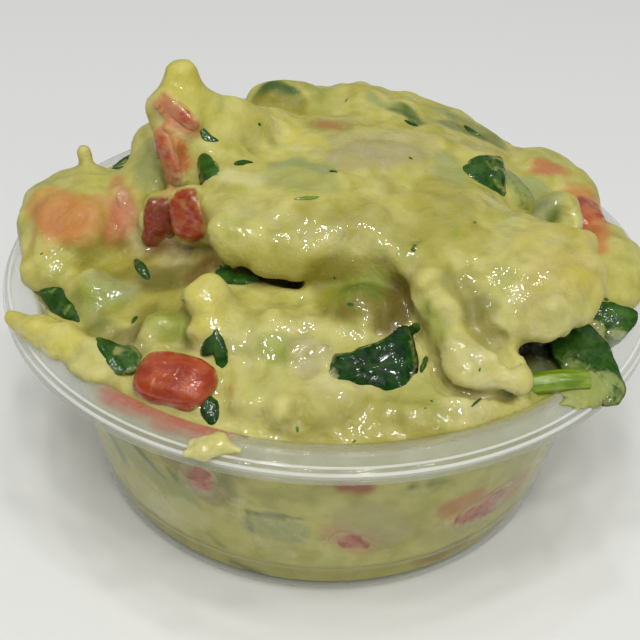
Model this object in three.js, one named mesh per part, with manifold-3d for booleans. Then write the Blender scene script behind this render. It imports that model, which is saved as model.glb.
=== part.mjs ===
// Guacamole heaped in a clear plastic portion cup, with diced tomato, leaves, a stem and onion.
// Millimetres, +Z up. The origin is the middle of the cup's flat base.

import * as THREE from 'three';
import { mergeVertices } from 'three/addons/utils/BufferGeometryUtils.js';
import { triTable } from 'three/addons/objects/MarchingCubes.js';
import Module from 'manifold-3d';

const wasm = await Module();
wasm.setup();

// ---------------------------------------------------------------- driving dimensions

const GAP = 0.3; // air between two pieces

const CUP = {
  baseRadius: 27.5,
  footHeight: 3.9, // upright band round the base
  shoulderRadius: 28.3, // wall just above the band
  neckRadius: 31.3, // wall just under the rim
  neckHeight: 23.2,
  lipRadius: 33.4, // highest ring, at the inner edge of the rim
  lipHeight: 26.7,
  hemRadius: 36.5, // outer edge of the rim
  hemHeight: 24.4, // lower edge of the turned-down hem
  wall: 0.6,
  floor: 0.8,
  sides: 48,
};

const HEAP = {
  cell: 2, // size of the cubes that skin the heap
  blend: 1.5, // how far two lumps run into each other
  low: [-37.5, -35, 16], // corners of the block of space that holds it
  high: [37.5, 36, 48],
  plugHeight: 24, // top of the plain plug that fills the cup under the heap
};

// ---------------------------------------------------------------- solids and meshes

function solidOf(geometry, seamless = false) {
  const bare = geometry.clone();
  bare.deleteAttribute('normal');
  bare.deleteAttribute('uv');
  const whole = seamless ? bare : mergeVertices(bare, 1e-4);
  return new wasm.Manifold(new wasm.Mesh({
    numProp: 3,
    vertProperties: new Float32Array(whole.attributes.position.array),
    triVerts: new Uint32Array(whole.index.array),
  }));
}

function geometryOf(solid) {
  const mesh = solid.getMesh();
  const geometry = new THREE.BufferGeometry();
  geometry.setAttribute('position', new THREE.BufferAttribute(new Float32Array(mesh.vertProperties), 3));
  geometry.setIndex(new THREE.BufferAttribute(new Uint32Array(mesh.triVerts), 1));
  geometry.computeVertexNormals();
  return geometry;
}

// The largest body of a cut solid: loose scraps are dropped.
function largest(solid) {
  const bodies = solid.decompose();
  return bodies.reduce((best, body) => (body.volume() > best.volume() ? body : best));
}

function lathe(profile, sides = CUP.sides) {
  const points = profile.map(([radius, height]) => new THREE.Vector2(radius, height));
  return new THREE.LatheGeometry(points, sides).rotateX(Math.PI / 2);
}

// A line of profile points moved sideways by a distance, to the left of its direction.
function moved(line, distance) {
  return line.map(([x, y], i) => {
    const [ax, ay] = line[Math.max(i - 1, 0)];
    const [bx, by] = line[Math.min(i + 1, line.length - 1)];
    const before = new THREE.Vector2(x - ax, y - ay).normalize();
    const after = new THREE.Vector2(bx - x, by - y).normalize();
    const along = before.clone().add(after).normalize();
    const stretch = 1 / Math.max(along.dot(i ? before : after), 0.6);
    const out = [x - along.y * distance * stretch, y + along.x * distance * stretch];
    return [x === 0 ? 0 : out[0], out[1]];
  });
}

// ---------------------------------------------------------------- cup

// Inside face, from the middle of the floor up the wall and over the rim to the hem.
const insideLine = [
  [0, CUP.floor],
  [CUP.baseRadius - 1.2, CUP.floor],
  [CUP.baseRadius - CUP.wall, CUP.floor + 0.6],
  [CUP.baseRadius - CUP.wall + 0.35, CUP.footHeight],
  [CUP.shoulderRadius - CUP.wall, CUP.footHeight + 0.7],
  [CUP.neckRadius - CUP.wall, CUP.neckHeight],
  [CUP.lipRadius - 1.9, CUP.lipHeight - 2.1],
  [CUP.lipRadius - 0.5, CUP.lipHeight - 0.4],
  [CUP.lipRadius, CUP.lipHeight],
  [CUP.hemRadius - 0.5, CUP.lipHeight - 0.9],
  [CUP.hemRadius, CUP.lipHeight - 1.5],
];

// Outside face, from the hem back under the rim, down the wall and under the base.
const outsideLine = [
  [CUP.hemRadius, CUP.hemHeight],
  [CUP.hemRadius - 0.7, CUP.hemHeight],
  [CUP.hemRadius - 0.8, CUP.lipHeight - 1.6],
  [CUP.lipRadius + 0.2, CUP.lipHeight - 0.75],
  [CUP.lipRadius - 1.3, CUP.lipHeight - 2.1],
  [CUP.neckRadius, CUP.neckHeight],
  [CUP.shoulderRadius, CUP.footHeight + 0.7],
  [CUP.baseRadius + 0.4, CUP.footHeight],
  [CUP.baseRadius, 0.9],
  [CUP.baseRadius - 0.7, 0],
  [0, 0],
];

const cup = lathe([...insideLine, ...outsideLine].reverse());

// Space that the food may fill: inside the cup and above its rim, a gap clear of the plastic.
const SKY = { radius: 46, height: 60 };
const roomLine = moved(insideLine, GAP);
const room = solidOf(lathe([
  ...roomLine,
  [SKY.radius, roomLine.at(-1)[1]],
  [SKY.radius, SKY.height],
  [0, SKY.height],
]));

// ---------------------------------------------------------------- heap of guacamole

// Distance to an egg-shaped lump: middle, half sizes, and its turn about the vertical in degrees.
function lump(x, y, z, halfX, halfY, halfZ, turn = 0) {
  const cos = Math.cos(THREE.MathUtils.degToRad(turn));
  const sin = Math.sin(THREE.MathUtils.degToRad(turn));
  return (px, py, pz) => {
    const dx = (px - x) * cos + (py - y) * sin;
    const dy = (py - y) * cos - (px - x) * sin;
    const near = Math.hypot(dx / halfX, dy / halfY, (pz - z) / halfZ);
    const slope = Math.hypot(dx / halfX ** 2, dy / halfY ** 2, (pz - z) / halfZ ** 2);
    return near * (near - 1) / Math.max(slope, 1e-9);
  };
}

// Distance to a rounded ridge through a few points, each [x, y, z, radius].
function ridge(...points) {
  return (px, py, pz) => {
    let nearest = Infinity;
    for (let i = 1; i < points.length; i++) {
      const [ax, ay, az, ar] = points[i - 1];
      const [bx, by, bz, br] = points[i];
      const [dx, dy, dz] = [bx - ax, by - ay, bz - az];
      const share = ((px - ax) * dx + (py - ay) * dy + (pz - az) * dz) / (dx * dx + dy * dy + dz * dz);
      const t = Math.min(Math.max(share, 0), 1);
      const away = Math.hypot(px - ax - t * dx, py - ay - t * dy, pz - az - t * dz);
      nearest = Math.min(nearest, away - ar - (br - ar) * t);
    }
    return nearest;
  };
}

const spooned = [
  // the bed that fills the cup to its rim, and the mound on it
  lump(0, 1, 24.5, 33, 32.4, 6.6),
  lump(1, -4, 27, 24, 22, 5.6),
  lump(1, 6, 30, 22.5, 18, 8.4),
  lump(3, 17, 30, 19, 11, 7.6, -8),
  lump(-13, 20, 27.5, 12, 9, 6.5, 35),
  lump(2.6, 17.5, 36.8, 3.2, 3.5, 2.2),
  lump(-5.7, 15.4, 37, 5, 3.2, 3, 12),
  // the thick slab on top, with its overhanging lip
  lump(-3, -4, 34.6, 11.2, 11, 4),
  lump(-3.2, -9.2, 35, 8.4, 5.6, 3.2),
  ridge([-10.8, -10.8, 35.4, 2.5], [-11, -6.5, 36, 2.6], [-11.2, -2, 36.8, 2.7], [-12, 1.5, 38.2, 2.8]),
  ridge([-10.4, -11.6, 35.3, 2.4], [-6.3, -13, 34.9, 2.2], [-3.2, -13.8, 34.5, 2], [0.6, -12.2, 35.6, 2],
    [4.2, -10.8, 35.6, 2.2]),
  ridge([-11.6, -12.2, 35.2, 1], [-10, -13.4, 34.4, 1], [-6.8, -14.5, 34.1, 1], [-3.4, -15.2, 33.3, 0.8]),
  // the horn pulled up at the slab's left corner
  ridge([-16.6, 4.6, 45.3, 1.9], [-16.6, 3.4, 42, 3.1], [-15.4, 1.8, 38.5, 3.4], [-13, 0.5, 35.5, 3.6]),
  lump(-18.5, 2.4, 41.6, 1.9, 1.8, 2.6),
  lump(-11.4, 4.4, 38, 5.2, 3.6, 4.2, 15),
  ridge([-14.2, 4.4, 41.2, 2.2], [-11, 6.3, 38.8, 2.2], [-7, 9, 37.2, 2.2]),
  // the lobe at the left, with a small spike
  lump(-27.2, 0.5, 28.6, 8.2, 8.6, 5.8),
  ridge([-28.2, 5.2, 35.3, 0.5], [-28, 4.7, 33.4, 1.1], [-27, 4, 31, 2]),
  lump(-29.8, -6.5, 27.6, 3.8, 4.6, 3.4),
  lump(-19.5, 3, 31, 5.5, 7, 5),
  lump(-20.6, 8, 33.4, 2.6, 3.6, 4.2),
  // the finger that runs down the front, and its foot
  ridge([4.6, -11.5, 34.6, 2.6], [7.2, -15, 33.6, 2.5], [9.8, -18.2, 32.2, 2.4], [11.8, -20.8, 30.9, 2.5],
    [13.4, -22.4, 29.8, 2.6]),
  ridge([12.6, -23.2, 29.8, 2.5], [15.2, -24.4, 29.5, 2.3], [17.4, -24.8, 28.9, 1.7]),
  ridge([11.2, -25.2, 29.6, 1.1], [14, -26.2, 29.4, 1.2], [17.2, -25.8, 28.9, 1]),
  // the big lobe at the right, hanging over the leaves
  lump(11.5, -8, 32.8, 9, 11.5, 4.6),
  lump(20.2, -12, 32.8, 7, 8.6, 3.8),
  ridge([17.6, -21.6, 31, 1.6], [21, -20.6, 32.6, 1.9], [24.2, -18.2, 32.4, 2], [26.2, -14.6, 33, 2],
    [25.6, -10, 34, 1.9]),
  lump(15.4, -16.6, 31.4, 4.6, 6.4, 2.8),
  lump(15.4, -20.6, 28.6, 3.2, 4, 2.6),
  // right edge
  lump(24.6, -1.8, 31.8, 3, 4.4, 3.6, -20),
  lump(30.1, -3, 27.4, 5.2, 8.5, 3.4),
  lump(24.2, 10, 28.4, 8, 10, 4.6),
  // small lumps of the front slope and the hollow at the left
  lump(-12.1, -18, 32.2, 2.2, 1.9, 1.8),
  ridge([-12.2, -18.6, 31.6, 1.6], [-11.4, -21.4, 29.6, 1.3]),
  ridge([-32.4, -16.7, 27.9, 0.6], [-29.8, -18.3, 27.7, 1.3], [-26.6, -20, 27.3, 1.9], [-23, -22, 26.9, 2.2]),
  lump(-15.6, -18.6, 28.2, 3.2, 2.2, 2.2, 30),
  lump(-24.2, -11.6, 27.6, 3.4, 2.6, 2.2, -20),
  lump(-21.6, -23.6, 26.6, 2.6, 2.2, 1.8),
  lump(-2.6, -27.2, 26.6, 7, 3.6, 2.8),
  lump(-6, -20.5, 28.4, 7.5, 3.2, 3.2, -8),
  lump(13, -27, 25.8, 8, 3.6, 2.6, 18),
  lump(25.2, -23, 25.6, 5.4, 2.6, 1.5, 42), // under the stem
  lump(0, -3.6, 24.6, 31, 29.6, 2.6),
];

const hollowed = [
  lump(-18.6, -12.6, 34.4, 6.6, 6.2, 5.2), // hollow between the left lobe and the slab
  lump(3.8, -17.6, 34.2, 3.2, 2.8, 2.9), // pit under the slab's lip
  // gap under the right lobe, and the shelf before it that holds the stem
  lump(22.6, -20.4, 29, 3.2, 4.2, 1.3),
  ridge([18.8, -20.8, 28.9, 1.2], [19.8, -20.8, 28.8, 1.7], [22.5, -19.2, 28.8, 1.9], [25.4, -16.6, 28.6, 1.9]),
  lump(22, -24, 28.8, 3.7, 2.8, 1.9),
  lump(24.8, -4.2, 34, 1.3, 2, 1.6, -30), // pocket in the curl at the right
];

// Smaller of two distances, rounded where they meet.
function blended(a, b) {
  const near = Math.max(HEAP.blend - Math.abs(a - b), 0) / HEAP.blend;
  return Math.min(a, b) - near * near * HEAP.blend / 4;
}

// Uneven surface: slow waves a few millimetres long.
function unevenness(x, y, z) {
  const across = Math.sin(0.9 * x + 0.4 * z + 1);
  const along = Math.sin(0.8 * y - 0.5 * x + 2);
  const upwards = Math.sin(0.7 * z + 0.6 * y);
  return 0.3 * across * along * upwards;
}

function heapDistance(x, y, z) {
  const outside = spooned.reduce((far, part) => blended(far, part(x, y, z)), 1e3);
  const cut = hollowed.reduce((far, part) => -blended(-far, part(x, y, z)), outside);
  return cut + unevenness(x, y, z);
}

// Corners of a cube in the order that three.js's table of cube cases counts them, and its 12 edges.
const CORNERS = [[0, 0, 0], [1, 0, 0], [1, 1, 0], [0, 1, 0], [0, 0, 1], [1, 0, 1], [1, 1, 1], [0, 1, 1]];
const EDGES = [
  [0, 1], [1, 2], [2, 3], [3, 0],
  [4, 5], [5, 6], [6, 7], [7, 4],
  [0, 4], [1, 5], [2, 6], [3, 7],
];

// Closed skin where a distance is zero. Edge points are shared, so the skin has no seams.
function skin(distance, low, high, cell) {
  const count = low.map((start, axis) => Math.ceil((high[axis] - start) / cell) + 1);
  const number = (i, j, k) => i + count[0] * (j + count[1] * k);
  const place = (index, axis) => low[axis] + index * cell;
  const values = new Float64Array(count[0] * count[1] * count[2]);
  const tooNear = 0.12 * cell;
  for (let k = 0; k < count[2]; k++) {
    for (let j = 0; j < count[1]; j++) {
      for (let i = 0; i < count[0]; i++) {
        const value = distance(place(i, 0), place(j, 1), place(k, 2));
        // a corner that the skin almost touches is moved off it, as it would make a sliver
        values[number(i, j, k)] = Math.abs(value) < tooNear ? (value < 0 ? -tooNear : tooNear) : value;
      }
    }
  }
  const positions = [];
  const triangles = [];
  const known = new Map();
  for (let k = 0; k < count[2] - 1; k++) {
    for (let j = 0; j < count[1] - 1; j++) {
      for (let i = 0; i < count[0] - 1; i++) {
        const corner = CORNERS.map(([a, b, c]) => [i + a, j + b, k + c]);
        const value = corner.map(([a, b, c]) => values[number(a, b, c)]);
        const state = value.reduce((bits, v, n) => bits | (v > 0 ? 1 << n : 0), 0);
        for (let n = state * 16; triTable[n] !== -1; n++) {
          const [a, b] = EDGES[triTable[n]];
          const [first, last] = [number(...corner[a]), number(...corner[b])].sort((p, q) => p - q);
          const key = `${first}-${last}`;
          if (!known.has(key)) {
            known.set(key, positions.length / 3);
            const share = value[a] / (value[a] - value[b]);
            for (let axis = 0; axis < 3; axis++) {
              const start = place(corner[a][axis], axis);
              positions.push(start + share * (place(corner[b][axis], axis) - start));
            }
          }
          triangles.push(known.get(key));
        }
      }
    }
  }
  const geometry = new THREE.BufferGeometry();
  geometry.setAttribute('position', new THREE.BufferAttribute(new Float32Array(positions), 3));
  geometry.setIndex(triangles);
  return geometry;
}

const heapBlock = solidOf(skin(heapDistance, HEAP.low, HEAP.high, HEAP.cell), true);

// Plain plug under the heap, wider than the cup: the cup's own form trims it.
const plug = solidOf(lathe([
  [0, 0],
  [CUP.lipRadius, 0],
  [CUP.lipRadius, HEAP.plugHeight],
  [0, HEAP.plugHeight],
]));

// ---------------------------------------------------------------- pieces in and on the heap

// A shape that is long in X and flat in XY is turned so that X runs along and +Z faces outwards.
function laid(geometry, at, along, facing) {
  const up = new THREE.Vector3(...facing).normalize();
  const side = up.clone().cross(new THREE.Vector3(...along)).normalize();
  const front = side.clone().cross(up);
  return geometry.applyMatrix4(new THREE.Matrix4().makeBasis(front, side, up).setPosition(...at));
}

// Soft-edged dice: a ball pushed out towards its corners.
function dice([length, width, thickness], grow, sides = 8) {
  const boxiness = 0.62;
  const ball = new THREE.SphereGeometry(1, sides, sides - 2);
  const points = ball.attributes.position;
  for (let i = 0; i < points.count; i++) {
    const [x, y, z] = [points.getX(i), points.getY(i), points.getZ(i)]
      .map((part) => Math.sign(part) * Math.abs(part) ** boxiness);
    points.setXYZ(i, x * (length / 2 + grow), y * (width / 2 + grow), z * (thickness / 2 + grow));
  }
  return ball;
}

// Thin wavy leaf: two grids of points, cut alike, and a strip round their edge.
const LEAF = { thickness: 0.7, stepsAlong: 4, stepsAcross: 2, blunt: 0.45, ripple: 0.18 };

function leaf([length, width, arch], grow) {
  const [rows, columns] = [LEAF.stepsAlong + 1, LEAF.stepsAcross + 1];
  const positions = [];
  for (const side of [1, -1]) {
    for (let i = 0; i < rows; i++) {
      for (let j = 0; j < columns; j++) {
        const along = 2 * i / LEAF.stepsAlong - 1;
        const across = 2 * j / LEAF.stepsAcross - 1;
        const outline = LEAF.blunt + (1 - LEAF.blunt) * Math.cos(along * Math.PI / 2);
        const x = along * (length / 2 + grow);
        const y = across * (width / 2 * outline + grow);
        const bend = -arch * ((2 * x / length) ** 2 + (2 * y / width) ** 2) / 2;
        const wave = LEAF.ripple * Math.sin(2.1 * x + 1.3 * y);
        positions.push(x, y, bend + wave + side * (LEAF.thickness / 2 + grow));
      }
    }
  }
  const under = rows * columns;
  const index = (i, j) => i * columns + j;
  const faces = [];
  for (let i = 0; i < rows - 1; i++) {
    for (let j = 0; j < columns - 1; j++) {
      const [a, b, c, d] = [index(i, j), index(i + 1, j), index(i + 1, j + 1), index(i, j + 1)];
      faces.push(a, b, c, a, c, d);
      faces.push(under + a, under + c, under + b, under + a, under + d, under + c);
    }
  }
  const edge = [];
  for (let i = 0; i < rows; i++) edge.push(index(i, 0));
  for (let j = 1; j < columns; j++) edge.push(index(rows - 1, j));
  for (let i = rows - 2; i >= 0; i--) edge.push(index(i, columns - 1));
  for (let j = columns - 2; j > 0; j--) edge.push(index(0, j));
  edge.forEach((point, n) => {
    const next = edge[(n + 1) % edge.length];
    faces.push(point, under + point, under + next, point, under + next, next);
  });
  const geometry = new THREE.BufferGeometry();
  geometry.setAttribute('position', new THREE.Float32BufferAttribute(positions, 3));
  geometry.setIndex(faces);
  return geometry;
}

// Short round stem with blunt ends.
function stem([length, width], grow) {
  const radius = width / 2 + grow;
  return new THREE.CylinderGeometry(radius, radius, length + 2 * grow, 12, 3).rotateZ(-Math.PI / 2);
}

const LOOKS = {
  cup: { color: 0xe6e8e4, roughness: 0.15, metalness: 0, transparent: true, opacity: 0.35 },
  guacamole: { color: 0xbeb96e, roughness: 0.35, metalness: 0 },
  tomato: { color: 0xb4452c, roughness: 0.25, metalness: 0 },
  leaf: { color: 0x2f5a24, roughness: 0.35, metalness: 0 },
  stem: { color: 0x7d9a1e, roughness: 0.3, metalness: 0 },
  onion: { color: 0xd8d3b8, roughness: 0.3, metalness: 0 },
};

// name, kind, sizes (dice: three sides; leaf: length, width, arch; stem: length, width),
// place, direction of its length, direction it faces
const pieces = [
  ['stem', stem, [6.6, 2.2], [22.4, -23.9, 27.3], [1, 0.17, 0.05], [0, 0, 1]],
  // tomato on the heap
  ['tomato_front', dice, [8.2, 5.6, 5], [-14.4, -25.6, 26.7], [1, -0.3, 0], [-0.1, -0.3, 0.95]],
  ['tomato_slab', dice, [5.8, 3.9, 3], [-14.5, -8, 35.2], [-0.28, 0.25, 1], [-0.3, -0.9, 0.25]],
  ['tomato_deep', dice, [6, 3.8, 3.2], [-18.3, -4.8, 32.4], [0.12, 0.3, 1], [0, -0.9, 0.3]],
  ['tomato_horn', dice, [6.6, 2.4, 2.2], [-17.2, -1.6, 38.6], [-0.28, 0.45, 1], [-0.5, -0.8, 0.2]],
  ['tomato_tip', dice, [5, 1.9, 2.2], [-16.4, 0.5, 42.8], [0.8, -0.25, -0.6], [-0.1, -0.9, 0.4]],
  ['tomato_left', dice, [7.2, 5.8, 4.2], [-28, -4.6, 31.2], [1, -0.15, 0], [-0.15, -0.5, 0.85]],
  ['tomato_band', dice, [6.2, 2.4, 3], [-22.7, -2.6, 31.8], [0, 0.55, 0.85], [0.2, -0.7, 0.6]],
  ['tomato_right', dice, [7.8, 4.4, 4.2], [29, 3.4, 29.4], [0.15, -1, 0.1], [0.35, 0, 0.95]],
  ['tomato_pink', dice, [4, 3, 2.6], [25.3, 9.4, 31.4], [1, 0.3, 0], [0.2, 0, 1]],
  ['tomato_back_left', dice, [6.4, 5, 4.4], [-17, 21.5, 31.4], [1, 0.5, 0.1], [-0.3, 0.5, 0.8]],
  ['tomato_back_right', dice, [5.6, 4.4, 4], [10.5, 25.6, 31], [1, -0.3, 0], [0.1, 0.7, 0.7]],
  // tomato pressed against the wall
  ['tomato_wall_left', dice, [5.6, 4.6, 3.6], [-12.6, -26.6, 15.6], [0.3, -0.2, 1], [-0.42, -0.9, 0]],
  ['tomato_wall_front', dice, [4.6, 2.8, 3.2], [3, -27.6, 9], [1, 0.1, -0.5], [0.1, -1, 0]],
  ['tomato_wall_right', dice, [8.4, 4.4, 3.4], [17.4, -22.4, 8.8], [0.8, 0.55, 0.1], [0.6, -0.8, 0]],
  // leaves
  ['leaf_front', leaf, [9, 5.2, 0.8], [4, -24.4, 29.6], [1, 0.15, 0.16], [0, -0.66, 0.75]],
  ['leaf_rim', leaf, [3.6, 2.8, 0.3], [-11.1, -28.8, 26.5], [0.3, 0.5, 0.8], [-0.1, -0.8, 0.55]],
  ['leaf_knuckle', leaf, [4.6, 2.6, 0.5], [-10.9, -23.4, 29.4], [0.15, 0.45, 0.9], [-0.15, -0.85, 0.5]],
  ['leaf_under_slab', leaf, [5.4, 3.2, 0.4], [-9.8, -14.2, 31.6], [1, -0.1, -0.1], [-0.1, -0.6, 0.8]],
  ['leaf_pale', leaf, [5.2, 4, 0.6], [-20.8, -23.2, 28.4], [0.85, -0.5, 0], [-0.1, -0.45, 0.9]],
  ['leaf_left', leaf, [8, 3.2, 0.5], [-28, -12.4, 27.4], [0.69, -0.72, 0.06], [-0.35, -0.35, 0.87]],
  ['leaf_hollow', leaf, [3.2, 2.2, 0.3], [-19.2, -10.4, 29.6], [0.8, -0.6, 0], [-0.1, -0.3, 0.95]],
  ['leaf_horn', leaf, [5, 2.6, 0.4], [-13.9, -3.8, 37.8], [-0.05, 0.4, 0.9], [-0.8, -0.5, 0.3]],
  ['leaf_fold', leaf, [5.4, 4, 1], [16.3, 1.8, 36.4], [0.9, 0.4, 0.2], [-0.2, -0.5, 0.85]],
  ['leaf_film', leaf, [5, 4.2, 0.6], [22.4, 4.6, 33.4], [0.7, 0.7, -0.3], [0.5, -0.2, 0.85]],
  ['leaf_right', leaf, [7, 3.4, 0.6], [30.4, -12.4, 28.4], [1, -0.1, -0.1], [0, -0.5, 0.87]],
  ['leaf_corner', leaf, [11.4, 7, 0.9], [27, -18.4, 28], [0.5, -0.86, -0.06], [0.15, -0.25, 0.95]],
  ['leaf_back', leaf, [7.4, 4.6, 0.8], [-3, 26.6, 32.4], [1, 0.1, 0], [0, 0.75, 0.65]],
  ['leaf_back_left', leaf, [5.6, 3.4, 0.6], [-26, 14, 29.8], [0.6, 0.8, 0], [-0.6, 0.3, 0.75]],
  ['leaf_back_right', leaf, [6, 3.8, 0.6], [21, 20, 31.4], [0.7, -0.7, 0], [0.5, 0.5, 0.7]],
  // onion
  ['onion_top', dice, [8, 5.2, 2.4], [5.4, 1.2, 37], [1, 0.1, 0.05], [0.1, -0.12, 1]],
  ['onion_front', dice, [3.8, 2.8, 2], [-1.4, -23.8, 29.2], [1, 0.2, 0], [0.07, -0.5, 0.87]],
];

// Each piece is trimmed to the room in the cup and to the pieces placed before it.
let taken = null;
const laidPieces = pieces.map(([name, shape, size, at, along, facing]) => {
  const make = (grow) => solidOf(laid(shape(size, grow), at, along, facing));
  let solid = make(0).intersect(room);
  if (taken) solid = solid.subtract(taken);
  const space = make(GAP);
  taken = taken ? taken.add(space) : space;
  return [name, largest(solid)];
});

// Chopped scraps of leaf, too small to be pieces of their own, stand out of the heap as flat grains:
// length, width, place, direction of the length.
const scraps = [
  [2.8, 1.4, [-13.5, -0.6, 40.8], [0.6, -0.2, -0.8]],
  [1.6, 1.2, [-24.8, 6, 33.2], [1, 0, 0]],
  [2.6, 0.9, [-9.5, -2.8, 38.6], [1, 0.6, 0]],
  [3, 0.9, [-2.7, -9.4, 38.4], [1, 0.35, 0]],
  [2, 1.3, [9, 10.6, 37.9], [1, -0.4, 0]],
  [3, 1.3, [17, 14, 35.6], [1, -0.5, 0]],
  [2.4, 1, [8, -21.6, 31.4], [0.1, 0.8, -0.6]],
  [2.4, 1, [-12, 12, 36], [0.5, -0.8, 0]],
];
const SCRAP = { thickness: 0.9, sides: 5 };

// A scrap slides along the slope of the heap's distance until its middle is on the surface.
function settled([x, y, z]) {
  const point = new THREE.Vector3(x, y, z);
  const slope = new THREE.Vector3();
  const step = 0.1;
  for (let pass = 0; pass < 6; pass++) {
    const [px, py, pz] = point.toArray();
    const here = heapDistance(px, py, pz);
    slope.set(heapDistance(px + step, py, pz) - here, heapDistance(px, py + step, pz) - here,
      heapDistance(px, py, pz + step) - here).normalize();
    point.addScaledVector(slope, -here);
  }
  return [point.toArray(), slope.toArray()];
}

const scrapSolids = scraps.map(([length, width, place, along]) => {
  const [at, facing] = settled(place);
  return solidOf(laid(dice([length, width, SCRAP.thickness], 0, SCRAP.sides), at, along, facing));
});
const wholeHeap = scrapSolids.reduce((sum, scrap) => sum.add(scrap), heapBlock.add(plug));

const guacamole = largest(wholeHeap.intersect(room).subtract(taken));

// ---------------------------------------------------------------- scene graph

const group = new THREE.Group();

function addPart(name, geometry, look) {
  const mesh = new THREE.Mesh(geometry, new THREE.MeshStandardMaterial(LOOKS[look]));
  mesh.name = name;
  group.add(mesh);
}

addPart('cup', cup, 'cup');
addPart('guacamole', geometryOf(guacamole), 'guacamole');
for (const [name, solid] of laidPieces) addPart(name, geometryOf(solid), name.split('_')[0]);

export default group;
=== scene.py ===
# %% [markdown]
# # Guacamole in a clear portion cup
#
# This lesson dresses a finished engineering model of a small tub of guacamole. The model already holds
# every piece at its real size: the clear cup, the heap of mashed avocado, dice of tomato, torn leaves,
# a stem and bits of onion. Blender adds what a camera would notice: moist lumpy mash, wet glints, films
# of mash over the leaves, and thin plastic with food pressed against it.
#
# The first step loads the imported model. Everything after it is in the same place and at the same scale.

import itertools
import math

import bmesh
import bpy
import numpy as np
from mathutils import Matrix, Vector
from mathutils.bvhtree import BVHTree


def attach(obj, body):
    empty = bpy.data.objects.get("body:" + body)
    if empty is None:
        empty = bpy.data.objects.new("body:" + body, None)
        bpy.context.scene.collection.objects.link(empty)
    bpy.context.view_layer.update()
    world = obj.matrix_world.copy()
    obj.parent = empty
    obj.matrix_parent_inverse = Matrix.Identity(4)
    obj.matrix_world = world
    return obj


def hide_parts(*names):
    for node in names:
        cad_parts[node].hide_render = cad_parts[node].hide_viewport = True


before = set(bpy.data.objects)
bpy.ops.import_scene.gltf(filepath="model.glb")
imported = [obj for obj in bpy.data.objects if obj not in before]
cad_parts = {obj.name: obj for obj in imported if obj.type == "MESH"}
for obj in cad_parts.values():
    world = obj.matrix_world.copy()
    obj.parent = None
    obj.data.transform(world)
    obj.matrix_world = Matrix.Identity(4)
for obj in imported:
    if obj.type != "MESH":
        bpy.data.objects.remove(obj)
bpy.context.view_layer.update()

# %% [markdown]
# Sizes are easiest to read in millimetres, as on the maker's drawing, so shapes are worked out in
# millimetres and turned into Blender's metres when a mesh is made. Colours are given as they look on
# a screen, from 0 to 255. Shaders work with light instead, so one helper converts them along the curve
# that every screen follows.

# %% Units and colours
MM = 0.001


def colour(red, green, blue):
    """A screen colour as the linear light that shaders use."""
    shares = (value / 255 for value in (red, green, blue))
    light = [s / 12.92 if s <= 0.04045 else ((s + 0.055) / 1.055) ** 2.4 for s in shares]
    return (*light, 1.0)


print("a screen grey of 128 stands for", round(colour(128, 128, 128)[0], 2), "of the light")

# %% [markdown]
# The camera comes first, because it decides which sides deserve the most work. It stands a hand's
# width in front of the cup and looks down at it, with a very slight tilt to one side.

# %% Camera
CAMERA = {"place": (-0.83, -111.52, 96.51), "pitch": 35.62, "roll": 1.8, "lens": 64.69}

camera = bpy.data.objects.new("camera", bpy.data.cameras.new("camera"))
bpy.context.scene.collection.objects.link(camera)
camera.data.lens = CAMERA["lens"]
camera.data.clip_start = 5 * MM
look_down = Matrix.Rotation(math.radians(90 - CAMERA["pitch"]), 4, "X")
roll = Matrix.Rotation(math.radians(CAMERA["roll"]), 4, "Z")
camera.matrix_world = Matrix.Translation(Vector(CAMERA["place"]) * MM) @ look_down @ roll
bpy.context.scene.camera = camera
print("the camera stands", round(camera.location.length, 3), "m from the middle of the base")

# %% [markdown]
# Nearly every surface of food is uneven at several scales at once. A lattice noise gives that: random
# slopes sit on the corners of a grid, and each point blends the slopes of the eight corners round it.
# The random numbers come from the corner's own address, so the same place always gives the same
# value, and nothing depends on the order in which points are asked for.

# %% Noise for shapes
SEED_STEP = 31.7  # how far apart two seeds read the lattice, in waves
PRIMES = (73856093, 19349663, 83492791)  # large primes keep neighbouring addresses apart
SEED_PRIME = 2654435761
STIRS = ((15, 668265263), (13, 374761393))  # shifts and factors that mix an address's bits
KEPT_BITS = 0xFFFFFFFFFF
SLOPE_BITS = (3, 13, 23)  # where the three slopes are cut out of the mixed bits, ten bits each
GAIN = 1.6  # brings the noise up to about -1 to 1


def lattice_noise(points, size, seed):
    """Smooth noise from about -1 to 1. Its waves are about `size` millimetres long."""
    scaled = np.asarray(points, float) / size + SEED_STEP * seed
    cell = np.floor(scaled).astype(np.int64)
    part = scaled - cell
    ease = part ** 3 * (part * (part * 6 - 15) + 10)
    total = np.zeros(len(scaled))
    for corner in itertools.product((0, 1), repeat=3):
        x_key, y_key, z_key = ((cell + corner) * PRIMES).T
        key = x_key ^ y_key ^ z_key ^ seed * SEED_PRIME
        for shift, factor in STIRS:
            key = (key ^ (key >> shift)) * factor & KEPT_BITS
        slopes = np.stack([(key >> shift & 1023) / 511.5 - 1 for shift in SLOPE_BITS], 1)
        weight = np.prod(np.where(corner, ease, 1 - ease), 1)
        total += weight * ((part - corner) * slopes).sum(1)
    return total * GAIN


def layered_noise(points, size, seed, layers=3, fade=0.5):
    """Noise whose layers are each half as long and `fade` as strong as the one before."""
    return sum(fade ** n * lattice_noise(points, size / 2 ** n, seed + n) for n in range(layers))


def ramp(value, low, high):
    """0 below low, 1 above high, and a smooth rise between them."""
    share = np.clip((value - low) / (high - low), 0, 1)
    return share * share * (3 - 2 * share)


print("noise at two places:", layered_noise([(0.5, 0.2, 0.1), (1.5, 0.2, 0.1)], 2, 1).round(2))
print("a ramp from 0 to 1 at its quarters:", ramp(np.array((0.25, 0.5, 0.75)), 0, 1).round(2))

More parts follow.
